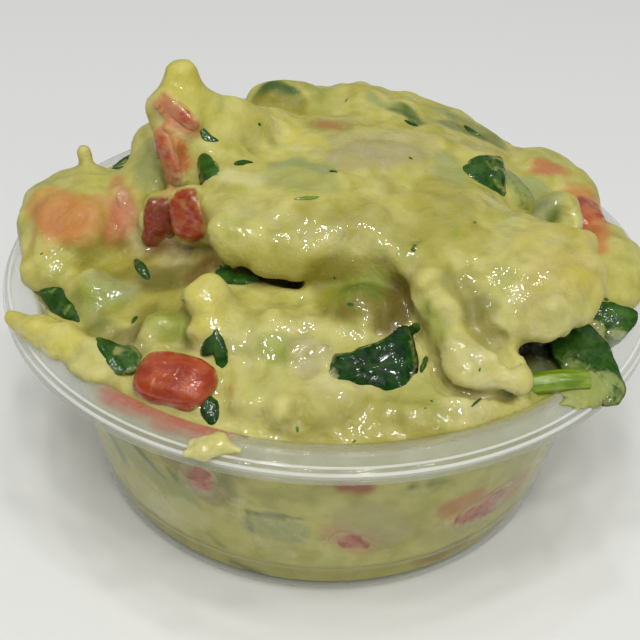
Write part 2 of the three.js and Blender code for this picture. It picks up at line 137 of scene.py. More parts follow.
# %% [markdown]
# One helper turns arrays of points and faces into a mesh that sits at the origin. It can carry extra
# numbers for each point, such as how thickly mash coats a leaf, which the materials read later.

# %% Mesh helper
def new_piece(name, points, faces, material, colours=None, values=None):
    """An object at the origin, with colours and values for each of its points."""
    mesh = bpy.data.meshes.new(name)
    mesh.from_pydata((np.asarray(points) * MM).tolist(), [], [list(map(int, face)) for face in faces])
    mesh.update()
    mesh.polygons.foreach_set("use_smooth", [True] * len(mesh.polygons))
    for key, data in (colours or {}).items():
        mesh.attributes.new(key, "FLOAT_COLOR", "POINT").data.foreach_set("color", np.ravel(data))
    for key, data in (values or {}).items():
        mesh.attributes.new(key, "FLOAT", "POINT").data.foreach_set("value", np.ravel(data))
    mesh.materials.append(material)
    piece = bpy.data.objects.new(name, mesh)
    bpy.context.scene.collection.objects.link(piece)
    return piece


def joined(parts):
    """Several (points, faces, ...) put together. What follows the faces has one row for each point."""
    starts = np.cumsum([0] + [len(part[0]) for part in parts])
    points = np.concatenate([part[0] for part in parts])
    faces = [[index + start for index in face] for part, start in zip(parts, starts) for face in part[1]]
    extras = [np.concatenate(column) for column in zip(*(part[2:] for part in parts))]
    return (points, faces, *extras)


two_lines = joined([([(0, 0, 0), (1, 0, 0)], [(0, 1)]), ([(0, 1, 0), (1, 1, 0)], [(0, 1)])])
print("two joined lines run through the points", two_lines[1])

# %% [markdown]
# ## The cup
#
# The real cup is a thin sheet of clear plastic, drawn down over a mould: a flat floor, an upright foot
# band, a tapering wall, and a rim that rolls over into a short hem. One line through half of it
# describes everything. The same line also tells the food where it may be.

# %% The cup's outline
# radii from the axis, heights from the base, and the two thicknesses, in millimetres
base, shoulder, neck, lip, hem = 27.5, 28.3, 31.3, 33.4, 36.5
foot_top, neck_top, lip_top, hem_foot = 3.9, 23.2, 26.7, 24.4
wall, cup_floor = 0.6, 0.8

inside_line = [
    (0, cup_floor), (base - 1.2, cup_floor), (base - wall, cup_floor + 0.6),
    (base - wall + 0.35, foot_top), (shoulder - wall, foot_top + 0.7), (neck - wall, neck_top),
    (lip - 1.9, lip_top - 2.1), (lip - 0.5, lip_top - 0.4), (lip, lip_top),
    (lip + 0.9, lip_top - 0.15), (lip + 1.1, lip_top - 0.4), (lip + 2.0, lip_top - 0.6),
    (hem - 0.5, lip_top - 0.75), (hem - 0.05, lip_top - 1.2), (hem, lip_top - 1.6),
]
outside_line = [
    (hem, hem_foot + 0.2), (hem - 0.25, hem_foot), (hem - 0.6, hem_foot + 0.05), (hem - 0.75, lip_top - 1.7),
    (lip + 0.4, lip_top - 0.9), (lip - 1.3, lip_top - 2.1), (neck, neck_top), (shoulder, foot_top + 0.7),
    (base + 0.4, foot_top), (base, 0.9), (base - 0.7, 0), (base - 3.2, 0), (base - 3.6, 0.35), (0, 0.4),
]


CUT = 0.3  # the most that rounding takes off each side of a corner, in millimetres


def rounded(line, passes=2):
    """Cuts every corner of a line twice over, so that it turns in small soft steps."""
    for _ in range(passes):
        cut = [line[0]]
        for (ar, az), (br, bz) in zip(line, line[1:]):
            share = min(0.25, CUT / max(math.hypot(br - ar, bz - az), 1e-6))
            cut.append((ar + (br - ar) * share, az + (bz - az) * share))
            cut.append((br - (br - ar) * share, bz - (bz - az) * share))
        line = cut + [line[-1]]
    return line


cup_line = rounded(inside_line + outside_line)
print("the cup's outline has", len(cup_line), "points")

# %% [markdown]
# A lathe is a good case for Geometry Nodes, because the rule is simple: roll a flat grid into a tube
# and let each row of the grid take its radius and height from one point of the outline. The seam and
# the two poles close when points that meet are merged. The number of steps round the cup is a named
# input of the tree.

# %% Node tree helpers
def node_tree(name, inputs):
    """A Geometry Nodes tree with named inputs, and its input and output nodes."""
    tree = bpy.data.node_groups.new(name, "GeometryNodeTree")
    tree.interface.new_socket("Geometry", in_out="INPUT", socket_type="NodeSocketGeometry")
    for label, kind, value in inputs:
        socket = tree.interface.new_socket(label, in_out="INPUT", socket_type=kind)
        if value is not None:
            socket.default_value = value
    tree.interface.new_socket("Geometry", in_out="OUTPUT", socket_type="NodeSocketGeometry")
    return tree, tree.nodes.new("NodeGroupInput"), tree.nodes.new("NodeGroupOutput")


def node(tree, kind, settings=None, **inputs):
    """Adds a node. Inputs are named by socket, with _ for a space, and take a value or another socket."""
    made = tree.nodes.new(kind)
    for key, value in (settings or {}).items():
        setattr(made, key, value)
    for key, value in inputs.items():
        label = key.replace("_", " ")
        socket = made.inputs[int(key[1:])] if key[0] == "n" and key[1:].isdigit() else made.inputs[label]
        if isinstance(value, bpy.types.NodeSocket):
            tree.links.new(value, socket)
        else:
            socket.default_value = value
    return made


def calculated(tree, operation, a, b=0.0):
    return node(tree, "ShaderNodeMath", {"operation": operation}, n0=a, n1=b).outputs[0]


def grown(piece, tree, inputs):
    """Runs a tree on a piece with these inputs, and gives the piece the resulting plain mesh."""
    modifier = piece.modifiers.new(tree.name, "NODES")
    modifier.node_group = tree
    sockets = {item.name: item.identifier for item in tree.interface.items_tree if item.in_out == "INPUT"}
    for label, value in inputs.items():
        modifier[sockets[label]] = value
    evaluated = piece.evaluated_get(bpy.context.evaluated_depsgraph_get())
    mesh = bpy.data.meshes.new_from_object(evaluated)
    piece.modifiers.remove(modifier)
    piece.data = mesh


print("a node's inputs can be named, as in Scale=2, or counted, as in n0=2")

# %% Lathe by Geometry Nodes
CUP_STEPS = 192
MERGE = 0.002  # points nearer than this become one, in millimetres

lathe, lathe_in, lathe_out = node_tree("lathe", [
    ("Steps round", "NodeSocketInt", CUP_STEPS),
    ("Material", "NodeSocketMaterial", None),
])
rows = node(lathe, "GeometryNodeAttributeDomainSize", {"component": "MESH"},
            Geometry=lathe_in.outputs["Geometry"]).outputs["Point Count"]
columns = calculated(lathe, "ADD", lathe_in.outputs["Steps round"], 1.0)
sheet = node(lathe, "GeometryNodeMeshGrid", Vertices_X=columns, Vertices_Y=rows)
across = node(lathe, "ShaderNodeSeparateXYZ", Vector=sheet.outputs["UV Map"])
turn = calculated(lathe, "MULTIPLY", across.outputs["X"], 2 * math.pi)
last_row = calculated(lathe, "SUBTRACT", rows, 1.0)
nearest_row = calculated(lathe, "ROUND", calculated(lathe, "MULTIPLY", across.outputs["Y"], last_row))
on_outline = node(lathe, "GeometryNodeSampleIndex", {"data_type": "FLOAT_VECTOR"},
                  Geometry=lathe_in.outputs["Geometry"], Index=nearest_row,
                  Value=node(lathe, "GeometryNodeInputPosition").outputs[0])
outline_parts = node(lathe, "ShaderNodeSeparateXYZ", Vector=on_outline.outputs[0])
around = [calculated(lathe, "MULTIPLY", outline_parts.outputs["X"], calculated(lathe, wave, turn))
          for wave in ("COSINE", "SINE")]
rolled = node(lathe, "ShaderNodeCombineXYZ", X=around[0], Y=around[1], Z=outline_parts.outputs["Z"])
placed = node(lathe, "GeometryNodeSetPosition", Geometry=sheet.outputs["Mesh"], Position=rolled.outputs[0])
closed = node(lathe, "GeometryNodeMergeByDistance", Geometry=placed.outputs[0], Distance=MERGE * MM)
whole = node(lathe, "GeometryNodeRealizeInstances", Geometry=closed.outputs[0])
clad = node(lathe, "GeometryNodeSetMaterial", Geometry=whole.outputs[0],
            Material=lathe_in.outputs["Material"])
lathe.links.new(clad.outputs[0], lathe_out.inputs["Geometry"])
print("the lathe is a tree of", len(lathe.nodes), "nodes")


def turned(name, line, material, steps):
    """A piece turned on the lathe from an outline of (radius, height) in millimetres."""
    outline = [(radius, 0, height) for radius, height in line]
    piece = new_piece(name, outline, [], material)
    grown(piece, lathe, {"Steps round": steps, "Material": material})
    shape = bmesh.new()
    shape.from_mesh(piece.data)
    bmesh.ops.recalc_face_normals(shape, faces=shape.faces)
    open_edges = sum(not edge.is_manifold for edge in shape.edges)
    shape.to_mesh(piece.data)
    shape.free()
    piece.data.polygons.foreach_set("use_smooth", [True] * len(piece.data.polygons))
    print(name, "has", len(piece.data.polygons), "faces and", open_edges, "open edges")
    return piece


# %% [markdown]
# ## Materials
#
# A shader tree is built from a few kinds of node again and again, so a small class keeps each
# material short. Patterns read Object coordinates in metres. A Mapping node turns them into
# millimetres, so that a noise of scale 1 has blotches about one millimetre across.

# %% Material helpers
class Shading:
    """A material in the making. Its patterns are measured in millimetres."""

    def __init__(self, name):
        self.material = bpy.data.materials.new(name)
        self.material.use_nodes = True
        self.tree = self.material.node_tree
        self.tree.nodes.clear()
        self.places = {}

    def node(self, kind, settings=None, **inputs):
        return node(self.tree, kind, settings, **inputs)

    def place(self, stretch=(1, 1, 1)):
        if stretch not in self.places:
            metres = self.node("ShaderNodeTexCoord").outputs["Object"]
            self.places[stretch] = self.node("ShaderNodeMapping", Vector=metres,
                                             Scale=tuple(part / MM for part in stretch)).outputs["Vector"]
        return self.places[stretch]

    def noise(self, scale, detail=2.0, distortion=0.0, stretch=(1, 1, 1)):
        """Blotches of 1/scale millimetres, from 0 to 1."""
        return self.node("ShaderNodeTexNoise", Vector=self.place(stretch), Scale=scale, Detail=detail,
                         Distortion=distortion).outputs["Fac"]

    def between(self, value, low, high, start=0.0, end=1.0):
        """Value from low to high becomes start to end, and stays within them."""
        return self.node("ShaderNodeMapRange", {"interpolation_type": "SMOOTHSTEP"}, Value=value,
                         From_Min=low, From_Max=high, To_Min=start, To_Max=end).outputs["Result"]

    def patches(self, low, high, *pattern, **options):
        """Patches of noise, 0 where it is below low and 1 where it is above high."""
        return self.between(self.noise(*pattern, **options), low, high)

    def times(self, a, b):
        return calculated(self.tree, "MULTIPLY", a, b)

    def plus(self, a, b):
        return calculated(self.tree, "ADD", a, b)

    def greater(self, a, b):
        return calculated(self.tree, "MAXIMUM", a, b)

    def mixed(self, share, first, second, blend="MIX"):
        """Second colour over first, by share."""
        settings = {"data_type": "RGBA", "blend_type": blend}
        return self.node("ShaderNodeMix", settings, n0=share, n6=first, n7=second).outputs[2]

    def carried(self, name, output="Fac"):
        """What the mesh's own attribute of that name says."""
        return self.node("ShaderNodeAttribute", {"attribute_name": name}).outputs[output]

    def bumped(self, height, depth, under=None):
        """Relief of `depth` millimetres from a height of 0 to 1, on top of other relief."""
        below = {} if under is None else {"Normal": under}
        return self.node("ShaderNodeBump", Height=height, Distance=depth * MM, Strength=1.0,
                         **below).outputs["Normal"]

    def torn_coat(self, scale, distortion, swing, low, high):
        """How far mash covers a piece: its `coat` from low to high, with an edge that noise tears."""
        torn = self.between(self.noise(scale, 3.0, distortion), 0.3, 0.7, -swing, swing)
        return self.between(self.plus(self.carried("coat"), torn), low, high)

    def beads(self):
        """Relief of round beads of water a millimetre wide, which break a lamp into small glints."""
        cells = self.node("ShaderNodeTexVoronoi", Vector=self.place(), Scale=1.0).outputs["Distance"]
        return self.bumped(self.between(cells, 0.08, 0.6, 1.0, 0.0), 0.08)

    def surface(self, **inputs):
        return self.node("ShaderNodeBsdfPrincipled", **inputs).outputs[0]

    def over_clear(self, share, surface, tint=(1, 1, 1, 1)):
        """Surface by share, and for the rest clear plastic or air."""
        clear = self.node("ShaderNodeBsdfTransparent", Color=tint).outputs[0]
        return self.node("ShaderNodeMixShader", n0=share, n1=clear, n2=surface).outputs[0]

    def finished(self, shader):
        self.node("ShaderNodeOutputMaterial", Surface=shader)
        print(self.material.name, "has", len(self.tree.nodes), "nodes")
        return self.material


print("patterns are measured in millimetres:", 1 / MM, "of them to a metre")

# %% [markdown]
# Mashed avocado is a soft, wet, slightly see-through paste. Its colour changes from place to place:
# cream where it stands up, as painted light, olive in the folds, as painted shade, and green or pink
# next to what it touches. Those large changes are worked out on the mesh and stored as an attribute
# called `paint`. The material adds fine mottling, tiny relief, a little light that travels under the
# surface, and a thin wet coat that is strongest where the attribute `wet` says so.

# %% Mash material
GLOW = {"Subsurface_Weight": 0.2, "Subsurface_Scale": 0.002}  # light travels 2 mm under the skin

look = Shading("avocado_mash")
mottle = look.patches(0.35, 0.65, 0.45, 3.0, 0.4)
speck = look.patches(0.62, 0.76, 1.7)
painted = look.carried("paint", "Color")
tint = look.mixed(look.times(mottle, 0.35), painted, colour(168, 158, 76), "SOFT_LIGHT")
folds, pulp = look.noise(0.5, 3.0, 0.6), look.noise(1.3, 3.0, 0.8)
mash_finish = look.finished(look.surface(
    Base_Color=look.mixed(look.times(speck, 0.2), tint, colour(210, 202, 134)),
    Roughness=look.between(folds, 0.3, 0.7, 0.42, 0.52), IOR=1.35,
    Normal=look.bumped(pulp, 0.08, look.bumped(folds, 0.2)), **GLOW, Subsurface_Radius=(1.0, 0.8, 0.3),
    Coat_Weight=look.times(look.carried("wet"), look.patches(0.42, 0.55, 0.9, 1.0, 0.6)),
    Coat_Roughness=0.05, Coat_IOR=1.8, Coat_Normal=look.beads()))

# %% [markdown]
# Ripe tomato is glossy, red at the skin and paler and pinker in the flesh. Mash clings to it, so each
# dice carries a `coat` value from 0 for bare to 1 for fully coated, and the colour of the mash `around` it.

# %% Tomato material
look = Shading("tomato_flesh")
streaks = look.patches(0.35, 0.7, 0.8, 3.0, 0.8, stretch=(0.5, 0.5, 1.6))
flesh = look.mixed(streaks, colour(152, 50, 16), colour(182, 80, 32))
flesh = look.mixed(look.times(look.patches(0.5, 0.72, 0.45), 0.25), flesh, colour(196, 106, 56))
# painted shade: `deep` darkens the flesh of dice that lie deep among the lumps
flesh = look.mixed(look.carried("deep"), flesh, colour(96, 34, 18))
coat = look.torn_coat(0.9, 0.6, 0.22, 0.0, 1.0)
tomato_finish = look.finished(look.surface(
    Base_Color=look.mixed(coat, flesh, look.carried("around", "Color")),
    Roughness=look.between(coat, 0.0, 1.0, 0.25, 0.42), IOR=1.4,
    Normal=look.bumped(look.noise(0.8, 3.0, 0.6), 0.14), **GLOW, Subsurface_Radius=(1.0, 0.5, 0.3),
    Coat_Weight=look.between(look.noise(0.8, 2.0, 0.6), 0.4, 0.55, 0.1, 0.9),
    Coat_Roughness=0.06, Coat_IOR=1.6, Coat_Normal=look.beads()))

# %% [markdown]
# Wet leaves are dark green and shiny, with lighter veins and edges. Where mash has been wiped over
# them they turn a milky grey green. The mesh says where, in `coat`, and `vein` marks the veins.

# %% Leaf material
look = Shading("wet_leaf")
patchy = look.patches(0.35, 0.7, 0.7, 3.0, 0.5)
light_green = look.mixed(patchy, colour(44, 88, 20), colour(84, 126, 40))
dark_green = look.mixed(patchy, colour(8, 40, 6), colour(24, 66, 12))
green = look.mixed(look.carried("deep"), light_green, dark_green)
green = look.mixed(look.times(look.carried("vein"), 0.1), green, colour(98, 126, 56))
milky = look.mixed(0.4, look.carried("around", "Color"), colour(118, 140, 74))
coat = look.torn_coat(0.8, 0.7, 0.25, 0.3, 0.9)
leaf_finish = look.finished(look.surface(
    Base_Color=look.mixed(coat, green, milky), Normal=look.bumped(look.noise(0.9, 3.0, 0.6), 0.14),
    Roughness=look.between(coat, 0.0, 1.0, 0.4, 0.5), IOR=1.3, Specular_IOR_Level=0.2,
    Coat_Weight=look.between(look.noise(0.6, 2.0, 0.8), 0.44, 0.56, 0.0, 0.9),
    Coat_Roughness=0.06, Coat_IOR=1.5, Coat_Normal=look.beads()))

# %% [markdown]
# A stem has fibres along its length, so its noise is stretched that way. Raw onion is made of layers,
# which are stretched too, and light goes further into it than into the other pieces.

# %% Stem and onion materials
look = Shading("green_stem")
fibres = look.patches(0.35, 0.65, 1.2, stretch=(0.15, 1.6, 1.6))
green = look.mixed(fibres, colour(98, 128, 8), colour(126, 152, 20))
coat = look.times(look.patches(0.56, 0.74, 0.7, 3.0, 0.5), 0.4)
stem_finish = look.finished(look.surface(
    Base_Color=look.mixed(coat, green, colour(160, 172, 90)), Roughness=0.28,
    Normal=look.bumped(look.noise(1.6, stretch=(0.2, 1.5, 1.5)), 0.12), **GLOW,
    Subsurface_Radius=(0.6, 1.0, 0.2), Coat_Weight=0.6, Coat_Roughness=0.06, Coat_IOR=1.36))

look = Shading("raw_onion")
layers = look.patches(0.35, 0.65, 0.8, stretch=(0.3, 1.3, 1.3))
flesh = look.mixed(layers, colour(186, 182, 146), colour(214, 210, 178))
coat = look.torn_coat(0.8, 0.0, 0.25, 0.3, 0.9)
onion_finish = look.finished(look.surface(
    Base_Color=look.mixed(coat, flesh, look.carried("around", "Color")), Roughness=0.35,
    Normal=look.bumped(look.noise(1.0, 3.0), 0.16),
    Subsurface_Weight=0.3, Subsurface_Scale=0.003, Subsurface_Radius=(1.0, 0.95, 0.7),
    Coat_Weight=0.3, Coat_Roughness=0.08, Coat_IOR=1.5))

# %% [markdown]
# The plastic is a thin clear sheet. It lets most light straight through, so it is a mix of a
# transparent shader and a faint milky gloss. A sheet seen edge-on looks more solid, which the Layer
# Weight node gives, and the rim is a little milkier than the wall. The folds of the rolled hem get a
# painted highlight: each is a thin line of near-white colour at its own height or radius.

# %% Plastic material
look = Shading("clear_plastic")
place = look.node("ShaderNodeSeparateXYZ", Vector=look.place())
squares = [calculated(look.tree, "POWER", place.outputs[axis], 2.0) for axis in "XY"]
radius, height = calculated(look.tree, "SQRT", look.plus(*squares)), place.outputs["Z"]


def thin_line(value, level):
    """1 where the value is at this level, and 0 from a fifth of a millimetre away."""
    off = calculated(look.tree, "ABSOLUTE", calculated(look.tree, "SUBTRACT", value, level))
    return look.between(off, 0.08, 0.2, 1.0, 0.0)


on_hem = look.between(radius, hem - 1.3, hem - 0.6)
on_rim = look.between(radius, neck + 0.6, lip)
# painted highlight: thin near-white lines on the hem, one at a radius, one at a height, and a faint one at
# its foot
faint_painted_highlight = look.times(thin_line(height, hem_foot + 0.15), 0.4)
folds = look.greater(thin_line(height, lip_top - 1.1), faint_painted_highlight)
painted_highlight_lines = look.greater(thin_line(radius, hem - 0.75), look.times(folds, on_hem))
edge_on = look.node("ShaderNodeLayerWeight", Blend=0.35).outputs["Facing"]
solid = look.plus(look.between(edge_on, 0.4, 1.0, 0.1, 0.7), look.times(on_rim, 0.14))
solid = look.plus(solid, look.times(painted_highlight_lines, 0.3))
plain = look.mixed(on_hem, colour(206, 207, 196), colour(168, 169, 153))
scuffs = look.noise(0.5, 4.0, 0.4, (1, 1, 3))
haze = look.surface(
    Base_Color=look.mixed(painted_highlight_lines, plain, colour(240, 240, 234)), IOR=1.49,
    Roughness=look.between(scuffs, 0.3, 0.7, 0.16, 0.3), Normal=look.bumped(look.noise(0.25), 0.25),
    Coat_Weight=0.7, Coat_Roughness=0.05, Coat_IOR=1.5)
plastic_finish = look.finished(look.over_clear(solid, haze, (0.97, 0.98, 0.965, 1)))

# %% Make the cup
cup = turned("clear_cup", cup_line, plastic_finish, CUP_STEPS)
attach(cup, "root")
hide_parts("cup")

# %% [markdown]
# ## What is in the mash
#
# Every piece in or on the mash has a row: its size in millimetres, its place, the direction of its
# length, and the direction that it faces. The rows are the same as in the engineering model, so each
# dressed piece lies where its plain one lies. For a leaf the third size is how far it arches.

# %% Table of pieces
DICE = {
    "tomato_front": ((8.2, 5.6, 5), (-14.4, -25.6, 26.7), (1, -0.3, 0), (-0.1, -0.3, 0.95)),
    "tomato_slab": ((5.8, 3.9, 3), (-14.5, -8, 35.2), (-0.28, 0.25, 1), (-0.3, -0.9, 0.25)),
    "tomato_deep": ((6, 3.8, 3.2), (-18.3, -4.8, 32.4), (0.12, 0.3, 1), (0, -0.9, 0.3)),
    "tomato_horn": ((6.6, 2.4, 2.2), (-17.2, -1.6, 38.6), (-0.28, 0.45, 1), (-0.5, -0.8, 0.2)),
    "tomato_tip": ((5, 1.9, 2.2), (-16.4, 0.5, 42.8), (0.8, -0.25, -0.6), (-0.1, -0.9, 0.4)),
    "tomato_left": ((7.2, 5.8, 4.2), (-28, -4.6, 31.2), (1, -0.15, 0), (-0.15, -0.5, 0.85)),
    "tomato_band": ((6.2, 2.4, 3), (-22.7, -2.6, 31.8), (0, 0.55, 0.85), (0.2, -0.7, 0.6)),
    "tomato_right": ((7.8, 4.4, 4.2), (29, 3.4, 29.4), (0.15, -1, 0.1), (0.35, 0, 0.95)),
    "tomato_pink": ((4, 3, 2.6), (25.3, 9.4, 31.4), (1, 0.3, 0), (0.2, 0, 1)),
    "tomato_back_left": ((6.4, 5, 4.4), (-17, 21.5, 31.4), (1, 0.5, 0.1), (-0.3, 0.5, 0.8)),
    "tomato_back_right": ((5.6, 4.4, 4), (10.5, 25.6, 31), (1, -0.3, 0), (0.1, 0.7, 0.7)),
    "onion_top": ((8, 5.2, 2.4), (5.4, 1.2, 37), (1, 0.1, 0.05), (0.1, -0.12, 1)),
    "onion_front": ((3.8, 2.8, 2), (-1.4, -23.8, 29.2), (1, 0.2, 0), (0.07, -0.5, 0.87)),
}
WALL_DICE = {
    "tomato_wall_left": ((5.6, 4.6, 3.6), (-12.6, -26.6, 15.6), (0.3, -0.2, 1), (-0.42, -0.9, 0)),
    "tomato_wall_front": ((4.6, 2.8, 3.2), (3, -27.6, 9), (1, 0.1, -0.5), (0.1, -1, 0)),
    "tomato_wall_right": ((8.4, 4.4, 3.4), (17.4, -22.4, 8.8), (0.8, 0.55, 0.1), (0.6, -0.8, 0)),
}
LEAVES = {
    "leaf_front": ((9, 5.2, 0.8), (4, -24.4, 29.6), (1, 0.15, 0.16), (0, -0.66, 0.75)),
    "leaf_rim": ((3.6, 2.8, 0.3), (-11.1, -28.8, 26.5), (0.3, 0.5, 0.8), (-0.1, -0.8, 0.55)),
    "leaf_knuckle": ((4.6, 2.6, 0.5), (-10.9, -23.4, 29.4), (0.15, 0.45, 0.9), (-0.15, -0.85, 0.5)),
    "leaf_under_slab": ((5.4, 3.2, 0.4), (-9.8, -14.2, 31.6), (1, -0.1, -0.1), (-0.1, -0.6, 0.8)),
    "leaf_pale": ((5.2, 4, 0.6), (-20.8, -23.2, 28.4), (0.85, -0.5, 0), (-0.1, -0.45, 0.9)),
    "leaf_left": ((8, 3.2, 0.5), (-28, -12.4, 27.4), (0.69, -0.72, 0.06), (-0.35, -0.35, 0.87)),
    "leaf_hollow": ((3.2, 2.2, 0.3), (-19.2, -10.4, 29.6), (0.8, -0.6, 0), (-0.1, -0.3, 0.95)),
    "leaf_horn": ((5, 2.6, 0.4), (-13.9, -3.8, 37.8), (-0.05, 0.4, 0.9), (-0.8, -0.5, 0.3)),
    "leaf_fold": ((5.4, 4, 1), (16.3, 1.8, 36.4), (0.9, 0.4, 0.2), (-0.2, -0.5, 0.85)),
    "leaf_film": ((5, 4.2, 0.6), (22.4, 4.6, 33.4), (0.7, 0.7, -0.3), (0.5, -0.2, 0.85)),
    "leaf_right": ((7, 3.4, 0.6), (30.4, -12.4, 28.4), (1, -0.1, -0.1), (0, -0.5, 0.87)),
    "leaf_corner": ((11.4, 7, 0.9), (27, -18.4, 28), (0.5, -0.86, -0.06), (0.15, -0.25, 0.95)),
    "leaf_back": ((7.4, 4.6, 0.8), (-3, 26.6, 32.4), (1, 0.1, 0), (0, 0.75, 0.65)),
    "leaf_back_left": ((5.6, 3.4, 0.6), (-26, 14, 29.8), (0.6, 0.8, 0), (-0.6, 0.3, 0.75)),
    "leaf_back_right": ((6, 3.8, 0.6), (21, 20, 31.4), (0.7, -0.7, 0), (0.5, 0.5, 0.7)),
}
STEM = ((6.6, 2.2), (22.4, -23.9, 27.3), (1, 0.17, 0.05), (0, 0, 1))


def axes_of(along, facing):
    """The directions of a piece's length, its width and its outer face."""
    up = np.array(facing, float) / np.linalg.norm(facing)
    side = np.cross(up, along)
    side /= np.linalg.norm(side)
    return np.array((np.cross(side, up), side, up))


print(len(DICE) + len(WALL_DICE), "dice,", len(LEAVES), "leaves and a stem")

# %% [markdown]
# ## The heap
#
# The mash is one lump of paste, so it is described the way a sculptor would: as balls and ridges
# pushed into each other. Each has a distance, negative inside it. Taking the smaller of two distances
# joins two shapes, and rounding that choice where they are close makes them flow together.

# %% Distances
BLEND = 1.5  # how near two shapes flow together, in millimetres
FAR = 1e3  # a distance greater than any in the heap
TINY = 1e-9  # keeps divisions from ending in zero


def lump(x, y, z, half_x, half_y, half_z, turn=0):
    """Distance to an egg-shaped lump, turned about the vertical."""
    cos, sin = math.cos(math.radians(turn)), math.sin(math.radians(turn))

    def distance(points):
        dx, dy, dz = (points - (x, y, z)).T
        u, v = dx * cos + dy * sin, dy * cos - dx * sin
        near = np.sqrt((u / half_x) ** 2 + (v / half_y) ** 2 + (dz / half_z) ** 2)
        slope = np.sqrt((u / half_x ** 2) ** 2 + (v / half_y ** 2) ** 2 + (dz / half_z ** 2) ** 2)
        return near * (near - 1) / np.maximum(slope, TINY)

    return distance


def ridge(*stops):
    """Distance to a rounded ridge through a few stops, each (x, y, z, radius)."""
    def distance(points):
        nearest = np.full(len(points), np.inf)
        for (ax, ay, az, ar), (bx, by, bz, br) in zip(stops, stops[1:]):
            start, way = np.array((ax, ay, az)), np.array((bx - ax, by - ay, bz - az))
            share = np.clip((points - start) @ way / (way @ way), 0, 1)
            away = np.linalg.norm(points - start - share[:, None] * way, axis=1)
            nearest = np.minimum(nearest, away - ar - (br - ar) * share)
        return nearest

    return distance


def blended(a, b, reach=BLEND):
    """Smaller of two distances, rounded where they meet."""
    near = np.maximum(reach - np.abs(a - b), 0) / reach
    return np.minimum(a, b) - near * near * reach / 4


to_ball = lump(0, 0, 0, 2, 2, 2)(np.array([(3.0, 0, 0)]))[0]
print("3 mm from the middle of a ball of 2 mm radius, its skin is", to_ball.round(2), "mm away")

# %% [markdown]
# The lumps follow the real heap: a bed that fills the cup, a mound, a thick slab with an overhanging
# lip and a horn at its corner, a finger that runs down the front, and a big lobe at the right.

